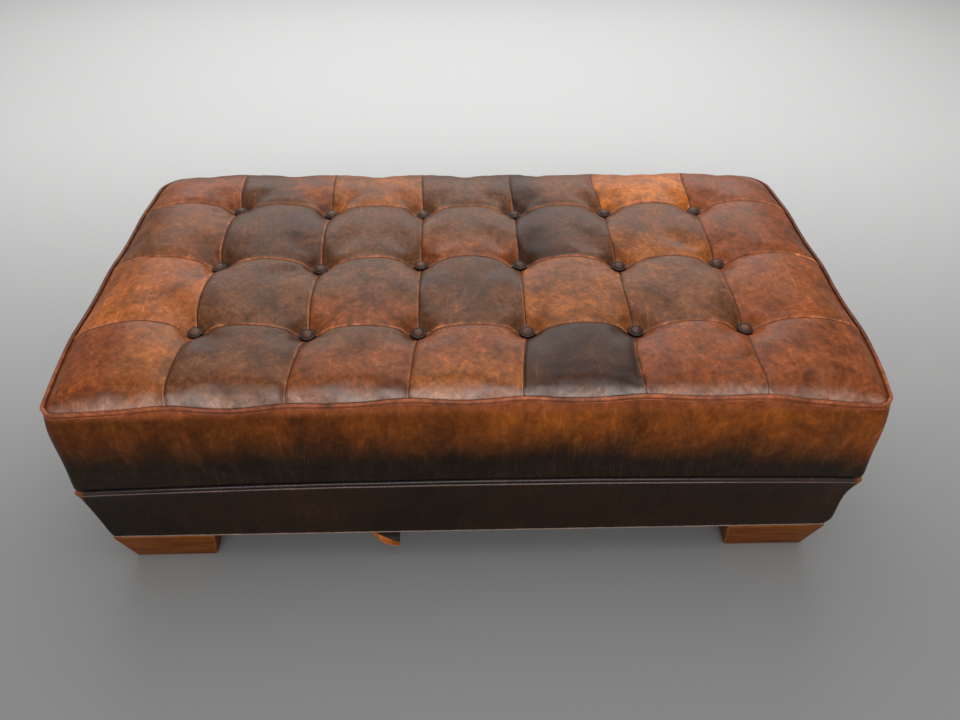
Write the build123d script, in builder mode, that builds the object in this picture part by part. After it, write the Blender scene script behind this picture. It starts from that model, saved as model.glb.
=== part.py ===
from build123d import *
from math import atan, atan2, cos, degrees, hypot, radians, sin
import os

os.makedirs("parts", exist_ok=True)

# Overall sizes in millimetres. The front is -Y, the hinges are at +Y, the feet stand on z = 0.
LENGTH = 1218.0
DEPTH = 652.0
CORNER_RADIUS = 22.0
TUFT_PITCH = 168.0
TUFT_COLUMNS = 6
TUFT_ROWS = 3

# Heights of the stack, from the floor up
FOOT_HEIGHT = 77.0
BASE_TOP = 216.0
LID_GAP = 3.0
LID_RAIL_TOP = 285.0
SEAT_BOARD_TOP = 297.0
FOAM_TOP = 372.0
BUTTON_SEAT = 380.0
WELT_Z = 384.0
SEAM_Z = 410.0
CROWN_Z = 419.0

# Thicknesses and clearances
LEATHER = 2.0
CLOTH = 1.5
BOARD = 18.0
PANEL = 9.0
CORNER_BLOCK = 40.0
FIT = 0.2
RETURN_WIDTH = 34.0

# Base rails, their leather cover and the piping round the base's top edge
WELT_PROUD = 8.0
BASE_WELT_RADIUS = 3.5
COVER_LENGTH = LENGTH - 2 * WELT_PROUD
COVER_DEPTH = DEPTH - 2 * WELT_PROUD
RAIL_LENGTH = COVER_LENGTH - 2 * LEATHER
RAIL_DEPTH = COVER_DEPTH - 2 * LEATHER
RAIL_BOTTOM = FOOT_HEIGHT + LEATHER
RAIL_TOP = BASE_TOP - LEATHER
INNER_LENGTH = RAIL_LENGTH - 2 * BOARD
INNER_DEPTH = RAIL_DEPTH - 2 * BOARD
PANEL_TOP = RAIL_BOTTOM + PANEL

# Tapered block feet and their bolts
FOOT_TOP_SIZE = 168.0
FOOT_TAPER = 15.0
FOOT_EDGE = 3.0
BOLT_RADIUS = 4.0
BOLT_BOTTOM = 34.0
BOLT_TOP = 150.0

# Lid: leather side band with a rounded shoulder, drawn in between its corners
LID_BOTTOM = BASE_TOP + LID_GAP
LID_RAIL_BOTTOM = LID_BOTTOM + LEATHER
TOP_WELT_RADIUS = 3.0
BAND_TOP = WELT_Z - TOP_WELT_RADIUS - 0.3
BAND_SECTIONS = (
    (LID_BOTTOM, 0.0, 4.0),
    (262.0, 0.0, 4.0),
    (305.0, 0.6, 5.0),
    (348.0, 4.0, 7.5),
    (BAND_TOP, 9.6, 9.0),
)
SHOULDER_INSET = 10.0
TOP_DRAW_IN = 9.0
FOAM_LENGTH = 1164.0
FOAM_DEPTH = 598.0

# Covered buttons and the twine that holds them down
BUTTON_RADIUS = 12.0
BUTTON_RIM = 3.0
BUTTON_DOME = 8.5
TWINE_RADIUS = 1.5
ANCHOR_RADIUS = 12.0
ANCHOR_HEIGHT = 4.0

# Butt hinges along the back edge
HINGE_Y = DEPTH / 2 + 4.0
HINGE_Z = BASE_TOP + LID_GAP / 2
HINGE_X = (-400.0, 0.0, 400.0)
HINGE_LENGTH = 75.0
KNUCKLES = 5
KNUCKLE_RADIUS = 3.4
KNUCKLE_CLEAR = 4.0
KNUCKLE_GAP = 0.3
PIN_RADIUS = 2.0
PIN_RUNNING = 0.06
LEAF = 1.4
LEAF_REACH = 40.0

# Wood screws with countersunk heads
SCREW_RADIUS = 2.0
SCREW_HEAD = 3.4
SCREW_LENGTH = 16.0
SCREW_ROOM = 0.1
SINK_ANGLE = 90.0

# Folding lid stays. Hinge line, both pivots and the elbow make a parallelogram.
STAY_REACH = 150.0
STAY_DROP = 40.0
STAY_WIDTH = 16.0
STAY_BAR = 2.5
STAY_PIVOT_RADIUS = 3.0
STAY_RUNNING = 0.08
ELBOW_ROOM = 0.2
STAY_HEAD_RADIUS = 5.5
STAY_HEAD = 1.5
STAY_PLATE = 2.0
STAY_PLATE_SIZE = 34.0
STAY_SCREW_SPACING = 22.0
LOWER_BAR_X = 572.0
UPPER_BAR_X = 568.5
STAY_OPEN_ANGLE = 80.0
STOP_RADIUS = 2.5
STOP_ROOM = 0.4
STAY_TAIL = 11.0
STAY_WALL_X = INNER_LENGTH / 2 - CLOTH

# Torn leather tab that hangs under the front rail
TAB_X = -151.0
TAB_WIDTH = 56.0
TAB_Y = -297.0
TAB_DROP = 34.0
TAB_CURL = 13.0
TAB_CURL_ANGLE = 115.0

SIDES = {"left": -1, "right": 1}
STANDING = (Align.CENTER, Align.CENTER, Align.MIN)


def save(piece, name):
    """Label one finished piece and write it to its own file."""
    piece.part.label = name
    export_step(piece.part, f"parts/{name}.step")


def straight_plan(z, length, depth, radius):
    """Rounded rectangle lying at height z."""
    with BuildSketch(Plane.XY.offset(z)) as plan:
        RectangleRounded(length, depth, radius)
    return plan.sketch


def drawn_plan(z, length, depth, draw_in):
    """Rectangle with rounded corners, drawn in at the middle of its sides, the short ones by half."""
    x = length / 2
    y = depth / 2
    with BuildSketch(Plane.XY.offset(z)) as plan:
        with BuildLine():
            ThreePointArc((-x, -y), (0, -y + draw_in), (x, -y))
            ThreePointArc((x, -y), (x - draw_in / 2, 0), (x, y))
            ThreePointArc((x, y), (0, y - draw_in), (-x, y))
            ThreePointArc((-x, y), (-x + draw_in / 2, 0), (-x, -y))
        make_face()
        fillet(plan.vertices(), CORNER_RADIUS)
    return plan.sketch


def corner_places(x, y, z):
    """The four corners of a rectangle at height z."""
    return [(side * x, end * y, z) for side in (-1, 1) for end in (-1, 1)]


def notched_plan(z, inset):
    """Inside outline of the box, stepped round its four corner blocks."""
    block = CORNER_BLOCK + inset
    with BuildSketch(Plane.XY.offset(z)) as plan:
        Rectangle(INNER_LENGTH - 2 * inset, INNER_DEPTH - 2 * inset)
        for x, y, _ in corner_places(INNER_LENGTH / 2 - block / 2, INNER_DEPTH / 2 - block / 2, z):
            with Locations((x, y)):
                Rectangle(block, block, mode=Mode.SUBTRACT)
    return plan.sketch


def hinge_screw_planes(leaf_face, direction):
    """Three screws for each hinge leaf, staggered in two rows."""
    planes = []
    for x in HINGE_X:
        for along, back in ((-26.0, 16.0), (0.0, 25.0), (26.0, 16.0)):
            origin = (x + along, HINGE_Y - back, leaf_face)
            planes.append(Plane(origin=origin, x_dir=(1, 0, 0), z_dir=(0, 0, direction)))
    return planes


def stay_pivot(drop):
    """Pivot of a stay, given how far it lies above or below the hinge line."""
    return (HINGE_Y - STAY_REACH, HINGE_Z + drop)


def stay_screw_planes(side, drop):
    """Two screws through one stay plate, with their heads towards the inside of the box."""
    y, z = stay_pivot(drop)
    face = side * (STAY_WALL_X - STAY_PLATE)
    planes = []
    for step in (-0.5, 0.5):
        origin = (face, y + step * STAY_SCREW_SPACING, z)
        planes.append(Plane(origin=origin, x_dir=(0, 1, 0), z_dir=(-side, 0, 0)))
    return planes


def all_stay_screw_planes(drop):
    """The screws of the left and the right plate."""
    return stay_screw_planes(-1, drop) + stay_screw_planes(1, drop)


def screw_holes(planes):
    """Clearance holes that start at each screw's head and follow its shank."""
    for plane in planes:
        with Locations(plane):
            Cylinder(
                SCREW_RADIUS + SCREW_ROOM,
                2 * (SCREW_LENGTH + 1),
                mode=Mode.SUBTRACT,
            )


def long_rail(end, bottom, top, planes):
    """Front or back board of a frame, the full length of the frame."""
    with BuildPart() as rail:
        with Locations((0, end * (RAIL_DEPTH - BOARD) / 2, bottom)):
            Box(RAIL_LENGTH, BOARD, top - bottom, align=STANDING)
        screw_holes(planes)
    return rail


def short_rail(side, bottom, top, planes):
    """Side board of a frame, fitted between the long boards."""
    with BuildPart() as rail:
        with Locations((side * (RAIL_LENGTH - BOARD) / 2, 0, bottom)):
            Box(BOARD, INNER_DEPTH, top - bottom, align=STANDING)
        screw_holes(planes)
    return rail


# Base frame: four boards
BASE_HINGE_SCREWS = hinge_screw_planes(BASE_TOP + LEAF, 1)
LID_HINGE_SCREWS = hinge_screw_planes(LID_BOTTOM - LEAF, -1)
save(long_rail(-1, RAIL_BOTTOM, RAIL_TOP, []), "rail_front")
save(long_rail(1, RAIL_BOTTOM, RAIL_TOP, BASE_HINGE_SCREWS), "rail_back")
for side_name, side in SIDES.items():
    save(short_rail(side, RAIL_BOTTOM, RAIL_TOP, stay_screw_planes(side, -STAY_DROP)), f"rail_{side_name}")

# Bottom board, with a hole for each foot bolt
BLOCK_X = (INNER_LENGTH - CORNER_BLOCK) / 2
BLOCK_Y = (INNER_DEPTH - CORNER_BLOCK) / 2
with BuildPart() as base_panel:
    with Locations((0, 0, RAIL_BOTTOM)):
        Box(INNER_LENGTH, INNER_DEPTH, PANEL, align=STANDING)
    with Locations(*corner_places(BLOCK_X, BLOCK_Y, RAIL_BOTTOM)):
        Cylinder(BOLT_RADIUS + FIT, PANEL, align=STANDING, mode=Mode.SUBTRACT)
save(base_panel, "base_panel")

# Corner blocks glued into the base frame, bored for the foot bolts
with BuildPart() as corner_blocks:
    with Locations(*corner_places(BLOCK_X, BLOCK_Y, PANEL_TOP)):
        Box(CORNER_BLOCK, CORNER_BLOCK, RAIL_TOP - PANEL_TOP, align=STANDING)
        Cylinder(BOLT_RADIUS + FIT, BOLT_TOP - PANEL_TOP, align=STANDING, mode=Mode.SUBTRACT)
save(corner_blocks, "corner_blocks")

# Cloth lining of the storage well, one tray stepped round the corner blocks
with BuildPart() as storage_lining:
    extrude(to_extrude=notched_plan(PANEL_TOP, 0), amount=RAIL_TOP - PANEL_TOP)
    extrude(
        to_extrude=notched_plan(PANEL_TOP + CLOTH, CLOTH),
        amount=RAIL_TOP - PANEL_TOP,
        mode=Mode.SUBTRACT,
    )
    screw_holes(all_stay_screw_planes(-STAY_DROP))
save(storage_lining, "storage_lining")

# Leather cover of the rails, turned under along its bottom edge
COVER_CORNER = 8.0
with BuildPart() as base_cover:
    extrude(
        to_extrude=straight_plan(FOOT_HEIGHT, COVER_LENGTH, COVER_DEPTH, COVER_CORNER),
        amount=RAIL_TOP - FOOT_HEIGHT,
    )
    with Locations((0, 0, RAIL_BOTTOM)):
        Box(RAIL_LENGTH, RAIL_DEPTH, RAIL_TOP, align=STANDING, mode=Mode.SUBTRACT)
    with Locations((0, 0, FOOT_HEIGHT)):
        Box(
            COVER_LENGTH - 2 * RETURN_WIDTH,
            COVER_DEPTH - 2 * RETURN_WIDTH,
            LEATHER,
            align=STANDING,
            mode=Mode.SUBTRACT,
        )
save(base_cover, "base_cover")

# Thin black cloth that closes the underside
with BuildPart() as dust_cover:
    with Locations((0, 0, RAIL_BOTTOM - CLOTH)):
        Box(
            COVER_LENGTH - 2 * RETURN_WIDTH - FIT,
            COVER_DEPTH - 2 * RETURN_WIDTH - FIT,
            CLOTH,
            align=STANDING,
        )
    with Locations(*corner_places(BLOCK_X, BLOCK_Y, RAIL_BOTTOM - CLOTH)):
        Cylinder(BOLT_RADIUS + FIT, CLOTH, align=STANDING, mode=Mode.SUBTRACT)
save(dust_cover, "dust_cover")

# Piping round the base's top edge, with its sewing flange lying on the rails
BASE_WELT_Z = BASE_TOP - BASE_WELT_RADIUS
BASE_WELT_LENGTH = LENGTH - 2 * BASE_WELT_RADIUS
BASE_WELT_DEPTH = DEPTH - 2 * BASE_WELT_RADIUS
with BuildPart() as base_welt:
    base_path = straight_plan(BASE_WELT_Z, BASE_WELT_LENGTH, BASE_WELT_DEPTH, CORNER_RADIUS / 2).wire()
    with BuildSketch(Plane(origin=base_path @ 0, z_dir=base_path % 0)):
        Circle(BASE_WELT_RADIUS)
    sweep(path=base_path)
    extrude(
        to_extrude=straight_plan(RAIL_TOP, BASE_WELT_LENGTH, BASE_WELT_DEPTH, CORNER_RADIUS / 2),
        amount=LEATHER,
    )
    with Locations((0, 0, RAIL_TOP)):
        Box(INNER_LENGTH, INNER_DEPTH, LEATHER, align=STANDING, mode=Mode.SUBTRACT)
    screw_holes(BASE_HINGE_SCREWS)
save(base_welt, "base_welt")

# Tapered wooden feet, one under each corner, with a bolt hole from above
FOOT_ANGLE = degrees(atan(FOOT_TAPER / FOOT_HEIGHT))
FOOT_X = (COVER_LENGTH - FOOT_TOP_SIZE) / 2
FOOT_Y = (COVER_DEPTH - FOOT_TOP_SIZE) / 2
for side_name, side in SIDES.items():
    for end_name, end in {"front": -1, "back": 1}.items():
        with BuildPart() as foot:
            with BuildSketch(Plane(origin=(side * FOOT_X, end * FOOT_Y, FOOT_HEIGHT), z_dir=(0, 0, -1))):
                Rectangle(FOOT_TOP_SIZE, FOOT_TOP_SIZE)
            extrude(amount=FOOT_HEIGHT, taper=FOOT_ANGLE)
            upright = foot.edges().filter_by(Axis.Z, reverse=True).filter_by(
                lambda edge: abs((edge @ 1 - edge @ 0).Z) > FOOT_HEIGHT / 2
            )
            fillet(upright, FOOT_EDGE)
            chamfer(foot.edges().group_by(Axis.Z)[0], FOOT_EDGE / 2)
            with Locations((side * BLOCK_X, end * BLOCK_Y, BOLT_BOTTOM)):
                Cylinder(BOLT_RADIUS + FIT, FOOT_HEIGHT, align=STANDING, mode=Mode.SUBTRACT)
        save(foot, f"foot_{end_name}_{side_name}")

# Bolts that hold the feet to the corner blocks
with BuildPart() as foot_bolts:
    with Locations(*corner_places(BLOCK_X, BLOCK_Y, BOLT_BOTTOM)):
        Cylinder(BOLT_RADIUS, BOLT_TOP - BOLT_BOTTOM, align=STANDING)
save(foot_bolts, "foot_bolts")

# Leather tab hanging from the turned-under edge, curled forward at its end
with BuildPart() as leather_tab:
    with BuildSketch(Plane.YZ.offset(TAB_X - TAB_WIDTH / 2)):
        with BuildLine() as tab_line:
            drop = Line((TAB_Y, FOOT_HEIGHT), (TAB_Y, FOOT_HEIGHT - TAB_DROP))
            JernArc(drop @ 1, drop % 1, TAB_CURL, -TAB_CURL_ANGLE)
        trace(line_width=LEATHER)
    extrude(amount=TAB_WIDTH)
save(leather_tab, "leather_tab")

# Lid frame: four boards, corner blocks and the seat board over them
save(long_rail(-1, LID_RAIL_BOTTOM, LID_RAIL_TOP, []), "lid_rail_front")
save(long_rail(1, LID_RAIL_BOTTOM, LID_RAIL_TOP, LID_HINGE_SCREWS), "lid_rail_back")
for side_name, side in SIDES.items():
    lid_side = short_rail(side, LID_RAIL_BOTTOM, LID_RAIL_TOP, stay_screw_planes(side, STAY_DROP))
    save(lid_side, f"lid_rail_{side_name}")

with BuildPart() as lid_corner_blocks:
    with Locations(*corner_places(BLOCK_X, BLOCK_Y, LID_RAIL_BOTTOM)):
        Box(CORNER_BLOCK, CORNER_BLOCK, LID_RAIL_TOP - LID_RAIL_BOTTOM, align=STANDING)
save(lid_corner_blocks, "lid_corner_blocks")

with BuildPart() as seat_board:
    with Locations((0, 0, LID_RAIL_TOP)):
        Box(RAIL_LENGTH, RAIL_DEPTH, SEAT_BOARD_TOP - LID_RAIL_TOP, align=STANDING)
    with Locations((0, 0, LID_RAIL_TOP)):
        with GridLocations(TUFT_PITCH, TUFT_PITCH, TUFT_COLUMNS, TUFT_ROWS):
            Cylinder(TWINE_RADIUS + FIT, SEAT_BOARD_TOP, align=STANDING, mode=Mode.SUBTRACT)
save(seat_board, "seat_board")

# Cloth lining inside the lid, stretched below the twine anchors and stapled to the rails
LINING_TOP = LID_RAIL_TOP - ANCHOR_HEIGHT - 2
LINING_BOTTOM = LID_RAIL_BOTTOM + 6
with BuildPart() as lid_lining:
    extrude(to_extrude=notched_plan(LINING_BOTTOM, 0), amount=LINING_TOP - LINING_BOTTOM)
    extrude(
        to_extrude=notched_plan(LINING_BOTTOM - CLOTH, CLOTH),
        amount=LINING_TOP - LINING_BOTTOM,
        mode=Mode.SUBTRACT,
    )
    screw_holes(all_stay_screw_planes(STAY_DROP))
save(lid_lining, "lid_lining")

# Foam slab under the tufted leather
with BuildPart() as foam_core:
    with Locations((0, 0, SEAT_BOARD_TOP)):
        Box(FOAM_LENGTH, FOAM_DEPTH, FOAM_TOP - SEAT_BOARD_TOP, align=STANDING)
        with GridLocations(TUFT_PITCH, TUFT_PITCH, TUFT_COLUMNS, TUFT_ROWS):
            Cylinder(TWINE_RADIUS + FIT, FOAM_TOP, align=STANDING, mode=Mode.SUBTRACT)
save(foam_core, "foam_core")


def band_sections(inset):
    """Outlines of the side band from its bottom edge to its shoulder."""
    return [
        drawn_plan(z, LENGTH - 2 * (shoulder + inset), DEPTH - 2 * (shoulder + inset), draw_in)
        for z, shoulder, draw_in in BAND_SECTIONS
    ]


# Wadding between the frame and the side band
with BuildPart() as side_wadding:
    loft(sections=band_sections(LEATHER + FIT))
    with Locations((0, 0, LID_BOTTOM)):
        Box(LENGTH, DEPTH, LEATHER, align=STANDING, mode=Mode.SUBTRACT)
        Box(RAIL_LENGTH, RAIL_DEPTH, SEAT_BOARD_TOP - LID_BOTTOM, align=STANDING, mode=Mode.SUBTRACT)
    with Locations((0, 0, SEAT_BOARD_TOP)):
        Box(FOAM_LENGTH, FOAM_DEPTH, FOAM_TOP - SEAT_BOARD_TOP, align=STANDING, mode=Mode.SUBTRACT)
    with Locations((0, 0, FOAM_TOP)):
        Box(LENGTH, DEPTH, WELT_Z, align=STANDING, mode=Mode.SUBTRACT)
save(side_wadding, "side_wadding")

# Leather side band, turned under the lid frame along its bottom edge
with BuildPart() as side_band:
    loft(sections=band_sections(0))
    loft(sections=band_sections(LEATHER), mode=Mode.SUBTRACT)
    turn_length = LENGTH - LEATHER
    turn_depth = DEPTH - LEATHER
    extrude(to_extrude=drawn_plan(LID_BOTTOM, turn_length, turn_depth, BAND_SECTIONS[0][2]), amount=LEATHER)
    with Locations((0, 0, LID_BOTTOM)):
        Box(INNER_LENGTH, INNER_DEPTH, LEATHER, align=STANDING, mode=Mode.SUBTRACT)
    screw_holes(LID_HINGE_SCREWS)
save(side_band, "side_band")

# Piping round the top, with its sewing lip hanging between the band and the tufted top
TOP_LENGTH = LENGTH - 2 * SHOULDER_INSET
TOP_DEPTH = DEPTH - 2 * SHOULDER_INSET
LIP = 1.2
LIP_DROP = 11.0
with BuildPart() as top_welt:
    inset = 2 * TOP_WELT_RADIUS
    top_path = drawn_plan(WELT_Z, TOP_LENGTH - inset, TOP_DEPTH - inset, TOP_DRAW_IN).wire()
    with BuildSketch(Plane(origin=top_path @ 0, x_dir=(0, 0, 1), z_dir=top_path % 0)):
        Circle(TOP_WELT_RADIUS)
        with Locations((-LIP_DROP / 2, 0)):
            Rectangle(LIP_DROP, LIP)
    sweep(path=top_path)
save(top_welt, "top_welt")

# Tufted top: four rows of pillows, each lofted from a button row over its crown to the next
PILLOW_INSET = 2 * TOP_WELT_RADIUS + FIT
RIM_X = TOP_LENGTH / 2 + 4
RIM_Y = TOP_DEPTH / 2 + 4
SEAM_X = [TUFT_PITCH * (column - (TUFT_COLUMNS - 1) / 2) for column in range(TUFT_COLUMNS)]
BUTTON_Y = [TUFT_PITCH * (row - (TUFT_ROWS - 1) / 2) for row in range(TUFT_ROWS)]


def pillow_section(y, seam_z, crown_z):
    """Cut across the pillows at one y: an arc for each pillow, dipping at the seams."""
    points = [(-RIM_X, WELT_Z)] + [(x, seam_z) for x in SEAM_X] + [(RIM_X, WELT_Z)]
    with BuildSketch(Plane.XZ.offset(-y)) as section:
        with BuildLine():
            for start, end in zip(points, points[1:]):
                ThreePointArc(start, ((start[0] + end[0]) / 2, crown_z), end)
            Polyline((RIM_X, WELT_Z), (RIM_X, FOAM_TOP), (-RIM_X, FOAM_TOP), (-RIM_X, WELT_Z))
        make_face()
    return section.sketch


RIM_CROWN = WELT_Z + 3
row_lines = [-RIM_Y] + BUTTON_Y + [RIM_Y]
with BuildPart() as tufted_top:
    for front, back in zip(row_lines, row_lines[1:]):
        sections = []
        for y in (front, (front + back) / 2, back):
            if y in BUTTON_Y:
                sections.append(pillow_section(y, BUTTON_SEAT, SEAM_Z))
            elif y in row_lines:
                sections.append(pillow_section(y, WELT_Z, RIM_CROWN))
            else:
                sections.append(pillow_section(y, SEAM_Z, CROWN_Z))
        loft(sections=sections)
    extrude(
        to_extrude=drawn_plan(
            FOAM_TOP, TOP_LENGTH - 2 * PILLOW_INSET, TOP_DEPTH - 2 * PILLOW_INSET, TOP_DRAW_IN
        ),
        amount=CROWN_Z - FOAM_TOP,
        mode=Mode.INTERSECT,
    )
    with Locations((0, 0, FOAM_TOP)):
        with GridLocations(TUFT_PITCH, TUFT_PITCH, TUFT_COLUMNS, TUFT_ROWS):
            Cylinder(TWINE_RADIUS + FIT, CROWN_Z, align=STANDING, mode=Mode.SUBTRACT)
    with Locations((0, 0, BUTTON_SEAT)):
        with GridLocations(TUFT_PITCH, TUFT_PITCH, TUFT_COLUMNS, TUFT_ROWS):
            Cylinder(BUTTON_RADIUS + 2 * FIT, CROWN_Z, align=STANDING, mode=Mode.SUBTRACT)
save(tufted_top, "tufted_top")

# Leather-covered buttons, domed, one at each crossing of the seams
DOME_HEIGHT = BUTTON_DOME - BUTTON_RIM
DOME_RADIUS = (BUTTON_RADIUS**2 + DOME_HEIGHT**2) / (2 * DOME_HEIGHT)
with BuildPart(mode=Mode.PRIVATE) as covered_button:
    with BuildSketch(Plane.XZ):
        with BuildLine():
            Polyline((0, BUTTON_DOME), (0, 0), (BUTTON_RADIUS, 0), (BUTTON_RADIUS, BUTTON_RIM))
            CenterArc(
                (0, BUTTON_DOME - DOME_RADIUS),
                DOME_RADIUS,
                90,
                -degrees(atan2(BUTTON_RADIUS, DOME_RADIUS - DOME_HEIGHT)),
            )
        make_face()
    revolve(axis=Axis.Z)
with BuildPart() as tuft_buttons:
    with Locations((0, 0, BUTTON_SEAT)):
        with GridLocations(TUFT_PITCH, TUFT_PITCH, TUFT_COLUMNS, TUFT_ROWS):
            add(covered_button.part)
save(tuft_buttons, "tuft_buttons")

# Twine from each button down to its anchor under the seat board
ANCHOR_BOTTOM = LID_RAIL_TOP - ANCHOR_HEIGHT
with BuildPart() as button_ties:
    with Locations((0, 0, ANCHOR_BOTTOM)):
        with GridLocations(TUFT_PITCH, TUFT_PITCH, TUFT_COLUMNS, TUFT_ROWS):
            Cylinder(TWINE_RADIUS, BUTTON_SEAT - ANCHOR_BOTTOM, align=STANDING)
save(button_ties, "button_ties")

with BuildPart() as tie_anchors:
    with Locations((0, 0, ANCHOR_BOTTOM)):
        with GridLocations(TUFT_PITCH, TUFT_PITCH, TUFT_COLUMNS, TUFT_ROWS):
            Cylinder(ANCHOR_RADIUS, ANCHOR_HEIGHT, align=STANDING)
            Cylinder(TWINE_RADIUS + FIT, ANCHOR_HEIGHT, align=STANDING, mode=Mode.SUBTRACT)
save(tie_anchors, "tie_anchors")


def hinge_leaf(x, leaf_bottom, knuckle_numbers, bore, planes):
    """One leaf of a butt hinge: a flat plate with its share of the knuckles."""
    start = x - HINGE_LENGTH / 2
    pitch = HINGE_LENGTH / KNUCKLES
    middle = leaf_bottom + LEAF / 2
    with BuildPart() as leaf:
        with BuildSketch(Plane.YZ.offset(start)):
            with Locations((HINGE_Y - (LEAF_REACH + KNUCKLE_CLEAR) / 2, middle)):
                Rectangle(LEAF_REACH - KNUCKLE_CLEAR, LEAF)
        extrude(amount=HINGE_LENGTH)
        for number in knuckle_numbers:
            with BuildSketch(Plane.YZ.offset(start + number * pitch + KNUCKLE_GAP / 2)):
                with Locations((HINGE_Y, HINGE_Z)):
                    Circle(KNUCKLE_RADIUS)
                with Locations((HINGE_Y - KNUCKLE_CLEAR / 2, middle)):
                    Rectangle(KNUCKLE_CLEAR, LEAF)
            extrude(amount=pitch - KNUCKLE_GAP)
        with BuildSketch(Plane.YZ.offset(start)):
            with Locations((HINGE_Y, HINGE_Z)):
                Circle(bore)
        extrude(amount=HINGE_LENGTH, mode=Mode.SUBTRACT)
        for plane in planes:
            with Locations(plane):
                CounterSinkHole(
                    SCREW_RADIUS + SCREW_ROOM,
                    SCREW_HEAD + SCREW_ROOM,
                    depth=4 * LEAF,
                    counter_sink_angle=SINK_ANGLE,
                )
    return leaf.part


BASE_KNUCKLES = range(0, KNUCKLES, 2)
LID_KNUCKLES = range(1, KNUCKLES, 2)
with BuildPart() as hinge_base_leaves:
    for number, x in enumerate(HINGE_X):
        screws = BASE_HINGE_SCREWS[3 * number : 3 * number + 3]
        add(hinge_leaf(x, BASE_TOP, BASE_KNUCKLES, PIN_RADIUS, screws))
save(hinge_base_leaves, "hinge_base_leaves")

with BuildPart() as hinge_lid_leaves:
    for number, x in enumerate(HINGE_X):
        screws = LID_HINGE_SCREWS[3 * number : 3 * number + 3]
        add(hinge_leaf(x, LID_BOTTOM - LEAF, LID_KNUCKLES, PIN_RADIUS + PIN_RUNNING, screws))
save(hinge_lid_leaves, "hinge_lid_leaves")

# Hinge pins, tight in the base knuckles and free in the lid knuckles
with BuildPart() as hinge_pins:
    for x in HINGE_X:
        with BuildSketch(Plane.YZ.offset(x - HINGE_LENGTH / 2)):
            with Locations((HINGE_Y, HINGE_Z)):
                Circle(PIN_RADIUS)
        extrude(amount=HINGE_LENGTH)
save(hinge_pins, "hinge_pins")

# One countersunk wood screw, head at the origin and point along -Z
with BuildPart(mode=Mode.PRIVATE) as wood_screw:
    with BuildSketch(Plane.XZ):
        with BuildLine():
            Polyline(
                (0, 0),
                (SCREW_HEAD, 0),
                (SCREW_RADIUS, SCREW_RADIUS - SCREW_HEAD),
                (SCREW_RADIUS, 2 * SCREW_RADIUS - SCREW_LENGTH),
                (0, -SCREW_LENGTH),
                close=True,
            )
        make_face()
    revolve(axis=Axis.Z)

for screw_set, planes in {
    "hinge_base_screws": BASE_HINGE_SCREWS,
    "hinge_lid_screws": LID_HINGE_SCREWS,
    "stay_base_screws": all_stay_screw_planes(-STAY_DROP),
    "stay_lid_screws": all_stay_screw_planes(STAY_DROP),
}.items():
    with BuildPart() as screws:
        with Locations(*planes):
            add(wood_screw.part)
    save(screws, screw_set)


def across(side, inner, outer):
    """Plane and length for a piece that lies between two distances from the middle."""
    return Plane.YZ.offset(min(side * inner, side * outer)), outer - inner


def disc(side, inner, outer, centre, radius, mode=Mode.ADD):
    """Round stretch of a pivot, along X."""
    plane, length = across(side, inner, outer)
    with BuildSketch(plane) as face:
        with Locations(centre):
            Circle(radius)
    extrude(to_extrude=face.sketch, amount=length, mode=mode)


def stay_brackets(drop, bar_x):
    """Left and right stay plates, each with a shouldered pivot for its bar."""
    centre = stay_pivot(drop)
    plate_inner = STAY_WALL_X - STAY_PLATE
    with BuildPart() as brackets:
        for side in SIDES.values():
            plane, length = across(side, plate_inner, STAY_WALL_X)
            with BuildSketch(plane):
                with Locations(centre):
                    RectangleRounded(STAY_PLATE_SIZE, STAY_WIDTH * 1.5, STAY_WIDTH / 4)
            extrude(amount=length)
            for screw_plane in stay_screw_planes(side, drop):
                with Locations(screw_plane):
                    CounterSinkHole(
                        SCREW_RADIUS + SCREW_ROOM,
                        SCREW_HEAD + SCREW_ROOM,
                        depth=2 * STAY_PLATE,
                        counter_sink_angle=SINK_ANGLE,
                    )
            disc(side, bar_x + STAY_BAR + FIT, plate_inner, centre, STAY_PIVOT_RADIUS + 1.5)
            disc(side, bar_x - FIT, bar_x + STAY_BAR + FIT, centre, STAY_PIVOT_RADIUS)
            disc(side, bar_x - FIT - STAY_HEAD, bar_x - FIT, centre, STAY_HEAD_RADIUS)
    return brackets


save(stay_brackets(-STAY_DROP, LOWER_BAR_X), "stay_base_brackets")
save(stay_brackets(STAY_DROP, UPPER_BAR_X), "stay_lid_brackets")

# Stay bars. The lower bar carries the elbow rivet, the upper bar has a tail with a stop pin.
BASE_PIVOT = stay_pivot(-STAY_DROP)
LID_PIVOT = stay_pivot(STAY_DROP)
ELBOW = (HINGE_Y - 2 * STAY_REACH, HINGE_Z)
BAR_LENGTH = hypot(STAY_REACH, STAY_DROP)
UPPER_ANGLE = atan2(STAY_DROP, STAY_REACH)
OPEN_LOWER_ANGLE = UPPER_ANGLE - radians(STAY_OPEN_ANGLE) - 2 * atan2(STAY_DROP, STAY_REACH)
STOP_REACH = STAY_WIDTH / 2 + STOP_RADIUS + STOP_ROOM
STOP = (
    ELBOW[0] + 3 * cos(OPEN_LOWER_ANGLE) + STOP_REACH * sin(OPEN_LOWER_ANGLE),
    ELBOW[1] + 3 * sin(OPEN_LOWER_ANGLE) - STOP_REACH * cos(OPEN_LOWER_ANGLE),
)
TAIL = (ELBOW[0] - STAY_TAIL * cos(UPPER_ANGLE), ELBOW[1] - STAY_TAIL * sin(UPPER_ANGLE))


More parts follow.
